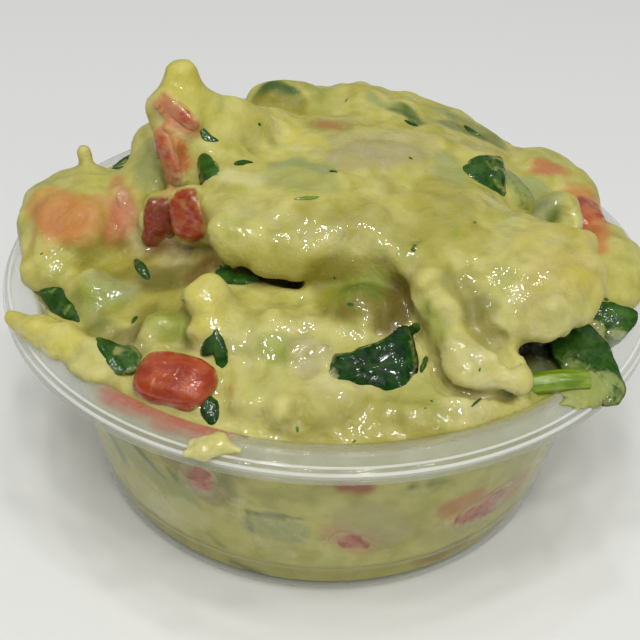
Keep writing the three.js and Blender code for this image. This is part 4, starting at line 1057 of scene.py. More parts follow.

# %% [markdown]
# The stains follow what lies in or under the mash: a cream ridge at the back, a grey film of onion,
# orange and pink where tomato shines through, and greens near leaves. Among them is painted shade in
# the deep folds, the hollow, the pit and under the lip, and near-black painted shadow in the gap and the
# slot under the lip. Food that shows only through the wall of the cup is a stain too.

# %% Stains and painted shade on the heap
# tint, strength, radius, and the stops of the stroke
STAINS_AND_PAINTED_SHADE = [
    ("yellow", 0.5, 2.6, (-16.7, 3.2, 45.5), (-15.5, 2, 42.5)),  # top of the horn
    ("tan", 0.8, 1.2, (-19.4, 2.4, 42), (-18.6, 0.8, 40)),  # its left edge
    ("pale", 0.75, 1.1, (-18, 0.4, 42.2), (-16.6, -0.9, 41)),
    ("orange", 0.8, 0.7, (-18.2, 0, 41), (-16.2, -1.2, 39.8)),
    # painted shade down the horn's left side: this shade stroke and the olive one below it
    ("shade", 0.7, 1.5, (-18.8, -1, 39.2), (-18.4, -2, 36)),
    ("olive", 0.6, 2, (-20, -0.5, 36), (-19, -3, 34.6)),
    ("cream", 0.9, 1.5, (-9.5, 4.5, 40), (-6.4, 6, 38.8), (-3.8, 2.4, 38.6)),  # cream ridge
    ("yellow", 0.5, 1.6, (-4.4, 5, 38.6), (-2, 3.4, 38.6)),
    ("pale", 0.7, 1.2, (-10.4, -5.8, 38.9), (-7.8, -5.4, 38.5)),
    ("film", 0.8, 1, (-6, -2, 38.5), (-3.6, -1.6, 38.6), (-0.8, -3.2, 38.6)),  # grey green film
    ("film", 0.45, 2.4, (-5, -4.6, 38.6), (-1.5, -6, 38.4)),
    ("grey", 0.85, 2.1, (1.4, -0.6, 38.4), (8, 1.8, 38.2)),  # film of onion
    ("grey", 0.5, 2.6, (2, 4, 38.2), (9, 5, 37.8)),
    ("orange", 0.75, 0.7, (-1.2, 8, 38.2), (0.6, 7.4, 38.2)),
    ("brown", 0.4, 1.4, (-1.6, 8, 38.2), (1, 7.4, 38.2)),
    # greens along the back
    ("leaf", 0.9, 1, (-8.6, 14, 38.7), (-7.4, 14.6, 39.9), (-5.4, 13.6, 39.4), (-4.4, 12.8, 38.4)),
    ("shade", 0.5, 1.2, (-8.6, 13, 38.4), (-4.4, 12, 38.2)),
    ("leaf", 0.8, 1, (8.2, 14.8, 37.4), (9.6, 11.4, 37.4)),
    ("leaf", 0.6, 1.3, (13.6, 12.8, 36.6), (17.4, 13, 35.1), (20.4, 15, 33.5)),
    ("pink", 0.7, 1, (-18.4, -0.2, 43.6), (-17, -0.5, 42.6), (-15, -0.6, 41.6)),  # tomato along the horn
    ("orange", 0.75, 0.9, (-17.9, -1.5, 41.2), (-16.1, -2.1, 40.2), (-15.7, -2.8, 38.6), (-15.6, -6.4, 37.4)),
    ("red", 0.5, 0.6, (-16.2, -2.2, 40), (-15.6, -3, 38.3)),
    # painted shade in the hollow at the left: this shade stroke and the brown, olive and shade strokes after
    # it
    ("shade", 0.6, 2.2, (-22, -5, 31.4), (-19.4, -6.8, 30.2)),  # shade of the hollow
    ("brown", 0.5, 2, (-19.4, -7.6, 30), (-14, -9.6, 31.2)),
    ("olive", 0.7, 3, (-24, -8, 29.2), (-19, -10.4, 29.6)),
    ("shade", 0.5, 1.4, (-21.4, -10.2, 29.2), (-17, -12, 29.6)),
    ("olive", 0.6, 2.6, (-21.8, -14, 28.4), (-17, -15.4, 29.4)),
    ("olive", 0.7, 1.6, (-8.6, 12.6, 38), (-4.4, 12.4, 38.6)),
    ("green", 0.6, 1.2, (-3.7, 17, 38.2), (-1.4, 14.6, 39)),
    ("film", 0.8, 1, (4.4, 15.9, 38.2), (7.4, 14.6, 37.8)),
    ("leaf", 0.6, 0.8, (7.4, 14, 37.9), (9, 12.6, 37.6)),
    ("film", 0.7, 1.4, (13, 16.6, 36), (20, 15.4, 33.6)),
    ("shade", 0.35, 1.2, (14.6, 15.6, 36), (19, 15, 34)),
    ("film", 0.85, 2, (19.4, 4, 34.4), (23.4, 4.6, 32.6)),  # wet film at the right
    ("film", 0.6, 1.6, (12.6, 3.4, 36.4), (13, -2, 36.8)),
    ("olive", 0.5, 3, (11.6, -4, 37), (12, -11, 37.2)),
    ("green", 0.4, 0.7, (12.6, -11.6, 37.2), (12.4, -12.6, 37)),
    ("green", 0.5, 0.6, (14.4, 1.4, 36.5), (14.3, 0.9, 36.5)),
    ("shade", 0.6, 0.5, (8.7, -14.2, 37), (8.3, -14.4, 37)),
    ("pink", 0.7, 1.2, (24, 8, 32.4), (26, 9, 31.8)),
    ("tan", 0.15, 4.2, (22, -14, 35.4), (24.6, -11, 35.6)),  # right lobe
    ("tan", 0.15, 3, (21, -18.6, 34.6), (24.6, -16, 34.6)),
    ("yellow", 0.5, 1.2, (23.4, -17.4, 34.6), (24.4, -16.8, 34.4)),
    ("olive", 0.4, 2, (8, -13.2, 37), (9.6, -16, 36)),
    ("olive", 0.55, 2, (4, -11.4, 37.2), (1, -11.8, 37)),
    # tomato under mash at the left
    ("orange", 0.6, 2.6, (-31, -3, 33), (-28, -5.6, 32.6), (-25.4, -4.6, 33)),
    ("pink", 0.5, 1.2, (-31.4, -3.6, 32.6), (-29.6, -6.4, 32)),
    ("pink", 0.6, 1, (-23.7, 0.5, 34.3), (-22.8, -4, 33), (-24, -6.2, 31)),
    ("film", 0.7, 1.6, (-20.8, 4.4, 36), (-19.8, -0.6, 35)),
    ("pale", 0.4, 1.5, (-21, -4.6, 32.6), (-20.6, -6.6, 30.6)),
    ("pale", 0.5, 1.2, (-18, -8.4, 30.6), (-15.4, -10, 30.6)),
    # painted shade in the folds of the hollow, the brown stroke after it too
    ("shade", 0.7, 2.2, (-18, -11.4, 29.6), (-14.4, -12, 30.2)),  # folds of the hollow
    ("brown", 0.6, 1.6, (-13.6, -12.4, 31), (-12.8, -11.4, 31.6)),
    ("film", 0.75, 1.6, (-23.9, -12.5, 29.6), (-21.4, -13.4, 29)),
    ("shade", 0.5, 1.2, (-14.8, -18.6, 30.2), (-13.8, -22, 29.2)),
    ("cream", 0.8, 1.6, (-12.2, -18, 34), (-12, -20, 32)),
    ("green", 0.7, 1.8, (-17.6, -18, 30.2), (-15.6, -20, 29.6)),
    ("shade", 0.4, 1.6, (12, -18.4, 35.4), (14.4, -20.4, 33.2), (15.8, -22, 31)),  # valley beside the finger
    ("yellow", 0.6, 2, (-31, -17.4, 28.2), (-25, -21, 27.6)),  # finger at the left
    ("shade", 0.45, 1.8, (-23.4, -18.4, 27.6), (-19.4, -21.4, 27.7)),  # shade beside it
    ("shade", 0.5, 1.3, (-20.9, -19.6, 27.8), (-18.8, -19, 28.4), (-18.4, -16.4, 28.8)),
    ("leaf", 0.4, 1.4, (-26, -13.8, 28), (-23.4, -17, 27.4)),
    ("green", 0.6, 1.2, (-25.4, -13, 28.8), (-22, -14.8, 28.8)),
    ("yellow", 0.6, 2, (-12.4, -18.6, 33.4), (-11.6, -20.6, 31)),
    # painted shade in the pit: the shade and brown strokes and part of the olive; the green, the leaf and the
    # rest of the olive colour the lump of avocado in it
    ("shade", 0.5, 2.4, (0.6, -14.2, 32), (6.6, -15, 31.6)),  # pit under the lip
    ("brown", 0.8, 1.6, (6.8, -15.6, 31.4), (6.6, -18, 30.4)),
    ("olive", 0.85, 2, (-1, -15.2, 33.4), (3, -15.6, 33.6), (6, -16.4, 33.4)),
    ("shade", 0.4, 2, (-0.6, -15, 33), (5.6, -15.4, 33.4)),
    ("olive", 0.95, 2.8, (1.6, -18.2, 32), (5.2, -18.4, 32)),
    ("shade", 0.65, 2.8, (1.8, -18, 32), (5.6, -18, 32)),
    ("green", 0.5, 2, (0.4, -17.4, 32.6), (4.6, -17, 33)),
    ("leaf", 0.5, 1.2, (2.4, -17, 32.8), (4.4, -17.6, 32.8)),
    ("brown", 0.7, 1.3, (6.4, -17.4, 32.4), (6.6, -19.4, 31.6), (5.6, -20.2, 31.2)),
    ("shade", 0.6, 1.4, (6.4, -17.4, 32.4), (6.6, -19.4, 31.6), (5.6, -20.2, 31.2)),
    # painted shade under the lip
    ("olive", 0.5, 1.4, (-10.8, -13.6, 34.4), (-6, -15, 34), (-3, -15.6, 33.4), (0.6, -14.2, 34.4)),
    ("olive", 0.7, 1.6, (0, -17.4, 30.6), (4.4, -19, 30.4)),
    ("shade", 0.6, 1, (1.4, -18.4, 30), (5.6, -18.8, 30)),
    ("green", 0.7, 1.5, (-5.2, -23.4, 30.2), (-4.6, -24, 30)),
    ("grey", 0.7, 1.2, (-2.8, -23.4, 29.9), (-1.6, -26.4, 29.2)),
    ("pale", 0.7, 1.6, (-0.4, -28.4, 28.8), (1.4, -27.4, 28.8)),
    ("cream", 0.5, 1.4, (-10.6, -26, 29), (-8, -28, 28)),
    ("green", 0.25, 2.2, (7, -28.6, 28), (10.6, -27.6, 28)),
    # painted shadow under the finger's foot: this olive stroke and the shade stroke after it
    ("olive", 0.7, 0.8, (11.6, -26.9, 28), (14, -27.5, 27.8), (17.4, -27, 27.7)),
    ("shade", 0.6, 0.5, (12.4, -27, 28), (14, -27.4, 27.8), (17.4, -26.9, 27.7)),  # under the finger's foot
    ("olive", 0.6, 1.8, (22, -25, 27), (28, -20.4, 27)),
    ("olive", 0.5, 3, (-1, -30.4, 27), (8, -30.6, 27)),
    ("pale", 0.5, 1.6, (12, -27.6, 28.6), (17.6, -25.6, 29)),
    ("green", 0.6, 1.2, (9.4, -21.4, 33.2), (10.4, -22.6, 32)),
    # painted shadow inside the gap under the right lobe: the two dark strokes; the leaf stroke is the leaf's
    # own green
    ("dark", 0.95, 2.4, (17.6, -19.6, 28.4), (20.4, -19.6, 27.4), (25, -16.4, 27)),  # inside the gap
    ("leaf", 0.8, 1.6, (17.8, -22.4, 28.6), (21, -22, 27.2), (26, -19.6, 27)),
    ("dark", 0.9, 1.5, (18.8, -21.2, 28.6), (21.5, -19.2, 27.3), (25, -18.4, 26.8)),
    ("orange", 0.85, 2.2, (27.4, 4, 31.6), (28.6, -1, 30.6), (28.4, -4, 30.4)),
    ("red", 0.4, 1.2, (27.8, 3, 31.4), (28.8, -1, 30.6), (28.4, -3, 30.4)),  # beside the right tomato
    ("leaf", 0.85, 1.2, (23, -2.2, 34.6), (25.2, -4.6, 33.6)),
    ("film", 0.7, 1.6, (21.6, -4.6, 35), (23.6, -1.4, 34.6)),
    ("leaf", 0.75, 1, (18.6, -22.6, 29), (19, -23.6, 28)),  # the shelf before it
    ("film", 0.3, 2, (20.4, -22.4, 27), (26, -20, 27)),
    ("green", 0.4, 2, (21, -25.4, 27), (27, -22, 26.6)),
    ("film", 0.75, 1.8, (24.4, -25.4, 26.6), (29, -21, 26.6)),
    ("green", 0.4, 1.2, (25.4, -25.2, 26.6), (29.4, -20.6, 26.6)),
    # painted shadow inside the undercut, and painted shade below it
    ("dark", 0.9, 1, (-11, -12, 32.6), (-7, -13.4, 31.6), (-3.4, -14.4, 31), (-1.6, -13.8, 31)),
    ("olive", 0.7, 1, (-10.8, -13.6, 33.4), (-6, -15, 33.2), (-3, -16, 33)),
    # pressed against the wall
    ("brown", 0.5, 2.6, (-14.6, -26, 17), (-11.4, -27.6, 14.6)),
    ("leaf", 0.5, 0.9, (-10, -29, 18), (-9.4, -28.6, 14.6)),
    ("pink", 0.45, 2.2, (2, -29.6, 10.4), (4.6, -28.8, 8.6)),
    ("film", 0.6, 2.2, (-21, -20.5, 14), (-15, -25.5, 12)),
    ("leaf", 0.7, 1, (-24, -17.5, 14), (-22, -19.5, 11)),
    ("leaf", 0.75, 0.5, (-19.5, -22.3, 15.5), (-17, -24.5, 13)),
    ("leaf", 0.7, 0.5, (-16.2, -25.1, 15), (-14, -26.3, 12.4)),
    ("leaf", 0.75, 0.7, (9, -29, 17), (12.4, -27.8, 16.8)),
    ("leaf", 0.6, 0.35, (14, -27, 16.6), (17.5, -25, 17.6)),
    ("leaf", 0.6, 0.4, (5.6, -29.4, 14), (8, -28.9, 13.8)),
    ("leaf", 0.5, 0.5, (6.3, -28.2, 8.2), (7, -28, 7.8)),
    ("leaf", 0.6, 0.7, (18.9, -20.3, 1.6), (21, -18.2, 2)),
    ("leaf", 0.75, 0.9, (-9.6, -26, 1.8), (-6.6, -26.8, 1)),
    ("leaf", 0.55, 0.6, (-12, -25.8, 6.4), (-10.6, -26.4, 4.6)),
    ("film", 0.6, 1.9, (-6.4, -28.4, 10.4), (-3, -28.9, 10.4)),
    ("leaf", 0.65, 0.35, (-7.4, -28.6, 12.6), (-2, -29.3, 12.8)),
    ("leaf", 0.55, 0.3, (-7.6, -28.2, 12.4), (-7.4, -28, 9)),
    ("pale", 0.6, 2.4, (-20.4, -20, 6.6), (-17.2, -22.6, 6.4), (-14, -25.4, 8.6)),
    ("red", 0.85, 1, (2, -30.4, 18.2), (4.2, -30.2, 17.8)),
    ("grey", 0.6, 2.8, (4, -29.4, 13), (7, -28.6, 10)),
    ("pink", 0.7, 1.5, (13.4, -26.6, 11.6), (16, -24.8, 11.8)),
    ("orange", 0.45, 1.5, (13.6, -26.2, 10.6), (15, -25.2, 9)),
    ("pink", 0.6, 2, (18, -23, 9.6), (22, -18.8, 8.6)),
    ("red", 0.5, 0.7, (12, -25, 2.6), (14, -24, 2.2)),
    ("brown", 0.4, 1, (11, -25.4, 2.6), (16, -22.6, 3)),
    # the sides and the back, finished alike
    ("leaf", 0.7, 0.8, (27.6, -8, 8), (28.4, -5, 9.4)),
    ("pink", 0.65, 1.8, (28.6, 4, 14), (28, 8, 13)),
    ("leaf", 0.7, 0.6, (24, 17, 12), (22.4, 19, 13.6)),
    ("film", 0.6, 2, (14, 25, 9), (9, 27, 10)),
    ("red", 0.7, 1.2, (-2, 29.4, 15), (-5, 29, 15.6)),
    ("leaf", 0.7, 0.7, (-10, 27.6, 8), (-13, 26, 8.6)),
    ("pale", 0.6, 2.4, (-18, 22.6, 13), (-21, 20, 12)),
    ("leaf", 0.65, 0.6, (-27.6, 9, 15), (-28.2, 6, 14)),
    ("pink", 0.6, 1.6, (-28.6, -4, 8), (-28.2, -7, 9)),
    ("film", 0.6, 2, (-27, 12, 6), (-25.6, 14, 6.4)),
]
shaded_foot = ramp(foot_top + 0.9 - mash_points[:, 2], 0, 1.6)
paint = tinted(paint, 0.55 * shaded_foot, "olive")
for seed, (tint, strength, radius, *stops) in enumerate(STAINS_AND_PAINTED_SHADE):
    for start, end in zip(stops, stops[1:]):
        share = strength * stroke(mash_points, start, end, radius, min(1.2, radius), 0.4, 300 + seed)
        paint = tinted(paint, share, tint)
print("painted", len(STAINS_AND_PAINTED_SHADE), "stains")

# %% [markdown]
# Mash is thin over the dice near each window, so the dice shines through it there.

# %% Tomato that shines through
shining = [(name, *DICE_LOOK[name][4:]) for name in DICE] + [(name, "pink", 0.6) for name in WALL_DICE]
for seed, (name, tint, strength) in enumerate(shining):
    size, at, along, facing = {**DICE, **WALL_DICE}[name]
    close = np.abs(mash_points - at).max(1) < max(size) / 2 + COAT["shine"]
    local = (mash_points[close] - at) @ axes_of(along, facing).T / (np.array(size) / 2)
    spread_out = (np.abs(local[:, :2]) ** 3).sum(1) ** (1 / 3)
    ragged = 0.35 * layered_noise(mash_points[close], 2.4, 450 + seed, 3)
    share = np.zeros(len(mash_points))
    share[close] = strength * ramp(1.3 - spread_out + ragged, -0.2, 0.7) * ramp(local[:, 2], 0.2, 0.8)
    paint = tinted(paint, share, tint)
print("tomato and onion shine through in", len(shining), "places")

# %% [markdown]
# Wet patches glint and the rest is only satin. Noise spreads them, most of all over the front. Water
# also gathers on edges and slopes where the mash was touched last, so those are listed as strokes too.

# %% Wet patches
# radius, and the stops of the stroke
WET = [
    (0.7, (0.4, -20.6, 31.2), (3, -21.3, 31.2), (5.8, -20.8, 31.4)),
    (1.6, (-3, -21.4, 31), (-1.6, -23.4, 30.4)),
    (1.4, (19.4, -7, 36.3), (22, -4, 35.4), (23.4, -2.4, 34.6)),
    (1.4, (14.2, -17.6, 35.2), (17, -15, 36.1)),
    (1.2, (20.4, -17.6, 35.3), (22, -17, 35.2)),
    (2.2, (-11.6, -9, 37.6), (-10.4, -12, 37), (-3, -13.6, 36.4), (1.6, -13, 36.8)),
    (1.2, (-12, -6, 38.6), (-11, -10, 38)),
    (1.8, (4.6, -13.6, 36.6), (7, -16.4, 35.4)),
    (2, (-10, -22, 31.6), (-6, -24.6, 29.8)),
    (1.2, (-5.4, -23.6, 30.2), (-3, -24.6, 29.6)),
    (1.6, (-9, -29.6, 26.4), (-3, -30.4, 26.6)),
    (1.8, (2, -30.4, 27), (9, -30.6, 27.4)),
    (1.8, (11, -29.6, 27.8), (15, -28, 28.4)),
    (1.4, (17.9, -3.6, 35.6), (19.6, -7.6, 36.6), (17, -12, 37)),
    (1.6, (16.4, -13, 37), (16.4, -17, 35.6)),
    (1.6, (18.6, -19.8, 34.4), (23.6, -18.4, 34.2)),
    (1.2, (-12.8, -18.6, 34), (-11.6, -19.6, 33)),
    (1.4, (-29, -18.6, 28.4), (-24.6, -21.4, 27.8)),
    (1.8, (-24, -11.6, 30), (-21.4, -13, 29.4)),
]
wet = 0.7 * ramp(layered_noise(mash_points, 5.5, 61, 3), 0.2, 0.55)
glossy = ramp(layered_noise(mash_points, 3.6, 65, 3), -0.15, 0.25)
wet = np.maximum(wet, 0.9 * glossy * ramp(-mash_points[:, 1], 17, 20) * free)  # the front is wettest
for seed, (radius, *stops) in enumerate(WET):
    for start, end in zip(stops, stops[1:]):
        wet = np.maximum(wet, stroke(mash_points, start, end, radius, 1.6, 0.6, 400 + seed))
print("the mash is wet over", round(float(wet.mean()), 2), "of its skin")

# %% Make the mash
mash = new_piece("avocado_mash", mash_points, mash_faces, mash_finish, {"paint": paint}, {"wet": wet})
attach(mash, "root")
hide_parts("guacamole")
print("the mash has", len(mash.data.polygons), "faces")

# %% [markdown]
# ## Resting on the mash
#
# Leaves are limp and wet, so they lie on the mash and follow it. A search tree over the finished
# skin tells how high a point is above the mash, which way is up there, and what colour the mash has.
# The first two let a leaf settle, and the colour is what mash leaves on a piece that it has wiped.

# %% Height above the mash
mash_tree = BVHTree.FromPolygons(mash_points.tolist(), mash_faces.tolist())


def above_mash(points):
    """Heights above the mash, negative inside it, the directions away from it, and its colour there."""
    heights, ways, shades = (np.zeros((len(points), *shape)) for shape in ((), (3,), (4,)))
    for n, point in enumerate(points):
        spot, _, face, _ = mash_tree.find_nearest(Vector(point))
        way = mash_normals[mash_faces[face]].mean(0)
        ways[n] = way / np.linalg.norm(way)
        away = point - np.array(spot)
        heights[n] = math.copysign(np.linalg.norm(away), away @ way)
        shades[n] = paint[mash_faces[face]].mean(0)
    return heights, ways, shades


ONE_PLACE = np.array([(0.0, 0, 45)])
print("a point 45 mm up the axis is", above_mash(ONE_PLACE)[0][0].round(1), "mm above the mash")

# %% [markdown]
# ## Dice of tomato and onion
#
# A dice begins as a ball whose points are pushed out towards eight corners, which leaves soft edges.
# Noise makes its cut faces uneven. Where it meets the mash its `coat` value is high, and a film of
# mash over all of it raises that value everywhere.

# %% Dice
FINENESS = 4  # each step of it cuts every face of the ball into four


def dice(size, at, along, facing, seed, film, uneven):
    """Points and faces of a dice, its coat, and the colour of the mash round it."""
    ball = bmesh.new()
    bmesh.ops.create_icosphere(ball, subdivisions=FINENESS, radius=1)
    round_points = np.array([vertex.co[:] for vertex in ball.verts])
    faces = [[vertex.index for vertex in face.verts] for face in ball.faces]
    ball.free()
    axes = axes_of(along, facing)
    boxed = np.sign(round_points) * np.abs(round_points) ** BOXINESS
    points = boxed * np.array(size) / 2 @ axes + at
    outward = round_points / np.array(size) @ axes
    outward /= np.linalg.norm(outward, axis=1, keepdims=True)
    points += (uneven * layered_noise(points, 2.6, seed, 3))[:, None] * outward
    heights, _, around = above_mash(points)
    coat = film + 0.75 * (1 - ramp(heights, 0.0, 0.4))
    return points, faces, coat, around


for seed, (name, row) in enumerate(DICE.items()):
    _, film, uneven, deep, *_ = DICE_LOOK[name]
    points, faces, coat, around = dice(*row, 100 + seed, film, uneven)
    finish = onion_finish if name.startswith("onion") else tomato_finish
    values = {"coat": coat, "deep": np.full(len(points), deep)}
    piece = new_piece("diced_" + name, points, faces, finish, {"around": around}, values)
    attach(piece, "root")
    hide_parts(name)
print("made", len(DICE), "dice on the heap")

# %% [markdown]
# Three dice are squashed against the inside of the wall. Their outer faces take the wall's own curve
# and reach a hair further into the plastic than the mash does, so that they show through it.

# %% Dice against the wall
WALL_REACH = 0.2  # millimetres
PUSHED_OUT = 0.9  # how far each of these dice is pushed into the wall before it is flattened
WALL_UNEVEN = 0.12


def pressed(points):
    """Points moved in until none reaches further into the wall than WALL_REACH."""
    points = points.copy()
    for _ in range(4):
        over = np.maximum(room_distance(points) - WALL_REACH, 0)
        radius = np.hypot(points[:, 0], points[:, 1])
        points[:, :2] *= (1 - over / radius)[:, None]
    return points


for seed, (name, row) in enumerate(WALL_DICE.items()):
    size, at, along, facing = row
    outwards = np.array((*at[:2], 0)) / math.hypot(*at[:2])
    place = np.array(at) + PUSHED_OUT * outwards
    points, faces, _, around = dice(size, place, along, facing, 130 + seed, 0, WALL_UNEVEN)
    points = pressed(points)
    local = (points - points.mean(0)) @ axes_of(along, facing).T / (np.array(size) / 2)
    rim = ramp(np.hypot(local[:, 0], local[:, 1]) + 0.5 * layered_noise(points, 2.4, 140 + seed, 3), 0.5, 1.1)
    values = {"coat": 0.15 + 0.95 * rim}
    piece = new_piece("pressed_" + name, points, faces, tomato_finish, {"around": around}, values)
    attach(piece, "root")
    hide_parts(name)
print("made", len(WALL_DICE), "dice against the wall")

# %% [markdown]
# ## Torn leaves
#
# A torn bit of coriander leaf has an outline of its own, so each is given by a few points in the plane
# of the leaf, in millimetres. The points are rounded into a soft line, and rings shrink from that line
# towards the middle to fill it. Two such sheets share their edge, which closes the blade.

# %% Leaf outlines
OUTLINES = {
    "leaf_front": [(-5.7, -3.4), (-5, -0.8), (-3.8, 1), (-0.8, 1.5), (1.6, 1.7), (4.6, 3.6), (5, 0.6),
                   (4.6, -1.9), (2.9, -4), (0.4, -3.4), (-1.6, -3), (-4.2, -3)],
    "leaf_corner": [(-3.3, -3.3), (-3.3, -0.3), (-2.7, 1.4), (-0.5, 1.7), (2.7, 0.8), (5.6, 0.4), (7.2, -1.8),
                    (6.5, -3.1), (5.3, -4.5), (3.2, -5), (0.5, -4.8), (-1.8, -4.4)],
    "leaf_right": [(-3.8, 0.2), (-2, 0.4), (0.6, 0.1), (2.3, -0.1), (2.3, -1.4), (0.8, -3.8), (-0.6, -4.4),
                   (-2.2, -4), (-3.4, -2.6)],
    "leaf_fold": [(-2.9, 0.8), (-0.9, 1.7), (1, 2.8), (2.9, 2), (3.6, 0.2), (2.6, -1.8), (1.4, -4),
                  (-1.8, -3.1), (-3.3, -1.4)],
    "leaf_film": [(-2.9, 4.4), (-0.3, 3.3), (0.2, -0.3), (0.3, -3), (-4.6, -3.4), (-5.6, -1.8), (-3.1, 1.5)],
    "leaf_left": [(-5.7, 0), (-3.6, 1.3), (-0.7, 0.7), (2.7, -0.2), (5.5, -1.1), (2.9, -1.6), (-0.2, -2),
                  (-2.9, -1.4)],
    "leaf_pale": [(-3.2, 0.7), (-1.4, 1.7), (0.5, 2.1), (2.6, 1.3), (2.7, -0.9), (1, -2.1), (-1.4, -0.6)],
    "leaf_knuckle": [(2.3, 0.4), (1.2, 1.2), (-0.9, 1.6), (-0.8, 0.8), (-0.3, 0.2), (-1.2, -0.4), (-2.4, -1),
                     (-1.6, -1.8), (0.2, -1.3), (1.6, -0.6)],
    "leaf_rim": [(1.4, 1.1), (1.7, -0.2), (0.4, -1.2), (-1.9, -1.9), (-1.3, -0.2), (-0.3, 1)],
    "leaf_under_slab": [(-2.5, 1.6), (-0.5, 1.3), (3, 0.9), (2.5, -0.5), (0.4, -0.9), (-1.9, -0.5)],
    "leaf_horn": [(2, 1.7), (2.6, 0.1), (1.6, -2.3), (-0.2, -2.9), (-1.9, -2), (-1.7, 0.5), (0.2, 1.2)],
    "leaf_hollow": [(-3.2, 1.1), (-1.1, 1), (1.3, -0.6), (-0.3, -0.8), (-1.9, -0.2)],
    "leaf_back": [(-3.6, -0.4), (-2.2, 1.3), (-0.3, 2.1), (1.1, 1.2), (3.4, 1.1), (2.9, -0.6), (1.2, -2.2),
                  (-1.4, -1.9)],
    "leaf_back_left": [(-2.7, 0.3), (-1.2, 1.5), (0.9, 1.2), (2.7, 0.4), (1.6, -1.2), (-0.7, -1.6)],
    "leaf_back_right": [(-2.9, -0.3), (-1.5, 1.6), (0.6, 1.1), (2.8, 1.5), (2.4, -0.8), (0.2, -1.8)],
}

# places wiped with mash: (x, y, radius, how much) in the plane of the leaf
WIPED = {
    "leaf_front": [(-4.8, -1.4, 1.3, 0.5)],
    "leaf_corner": [(5.4, -2.4, 2.4, 0.5), (0.2, -3.9, 1.3, 0.3), (2.4, -3.6, 1.6, 0.45)],
    "leaf_right": [(-2.6, -3, 1.5, 0.8), (0.4, -3.2, 1.2, 0.5)],
    "leaf_fold": [(1.8, 0.2, 1.1, 0.45), (1, -2.2, 0.8, 0.4)],
    "leaf_left": [(-2.2, 0.2, 0.8, 0.35), (2, -0.8, 0.8, 0.4)],
    "leaf_pale": [(0.6, 0.6, 1.1, 0.5)],
    "leaf_horn": [(-0.2, 0.2, 1, 0.35)],
    "leaf_back": [(1.4, 0.4, 1.3, 0.5)],
}


def soft_outline(corners, steps, rounds=2):
    """Closed line that rounds off a few corners, cut into equal steps."""
    line = np.array(corners, float)
    for _ in range(rounds):
        ahead = np.roll(line, -1, 0)
        line = np.stack([0.75 * line + 0.25 * ahead, 0.25 * line + 0.75 * ahead], 1).reshape(-1, 2)
    line = np.concatenate([line, line[:1]])
    walked = np.concatenate([[0], np.cumsum(np.linalg.norm(np.diff(line, axis=0), axis=1))])
    wanted = np.linspace(0, walked[-1], steps, endpoint=False)
    return np.stack([np.interp(wanted, walked, line[:, n]) for n in (0, 1)], 1)


print(len(OUTLINES), "outlines, and mash wiped over", len(WIPED), "of the leaves")

# %% [markdown]
# A blade first lies down on the mash, and how far each point moves is evened out between neighbours,
# because a leaf bridges small hollows. Points that still end up inside the mash are lifted just clear
# of it. Last, the blade's edge is let into the mash, so that mash closes over it.

# %% Blades
# A leaf's blade and a scrap's: how many points it has outwards and round, how high its middle layer
# lies on the mash, and how thick it is.
LEAF_BLADE = {"rings": 9, "steps": 72, "lift": 0.24, "thickness": 0.24}
SCRAP_BLADE = {"rings": 5, "steps": 36, "lift": 0.12, "thickness": 0.08}
SETTLE = {"reach": 0.5, "clear": 0.12, "wave": 0.12, "passes": 40, "last_passes": 4}  # millimetres, passes
SMALL = 5  # a leaf shorter than this keeps sharper corners
VEINS = {"width": 0.3, "branch": 0.22, "apart": 1.5, "slant": 1.2, "depth": 0.02}
EDGE_COAT = 0.25  # a blade sunk deeper than this has mash over its edge


def evened(moves, rings, steps, passes):
    """Moves of a blade's points, evened out between neighbours on its rings."""
    middle, ringed = moves[0], moves[1:].reshape(rings, steps, 3)
    for _ in range(passes):
        padded = np.concatenate([np.broadcast_to(middle, (1, steps, 3)), ringed, ringed[-1:]])
        beside = np.roll(ringed, 1, 1) + np.roll(ringed, -1, 1) + padded[:-2] + padded[2:]
        ringed = 0.4 * ringed + 0.15 * beside
        middle = ringed[0].mean(0)
    return np.concatenate([[middle], ringed.reshape(-1, 3)])


def lying(sheet, lift, rings, steps):
    """A blade laid on the mash, smooth but nowhere inside it."""
    heights, ways, _ = above_mash(sheet)
    down = ((lift + np.maximum(heights - SETTLE["reach"], 0)) - heights)[:, None] * ways
    sheet = sheet + evened(down, rings, steps, SETTLE["passes"])
    heights, ways, _ = above_mash(sheet)
    clear = np.maximum(SETTLE["clear"] - heights, 0)[:, None] * ways
    return sheet + evened(clear, rings, steps, SETTLE["last_passes"])


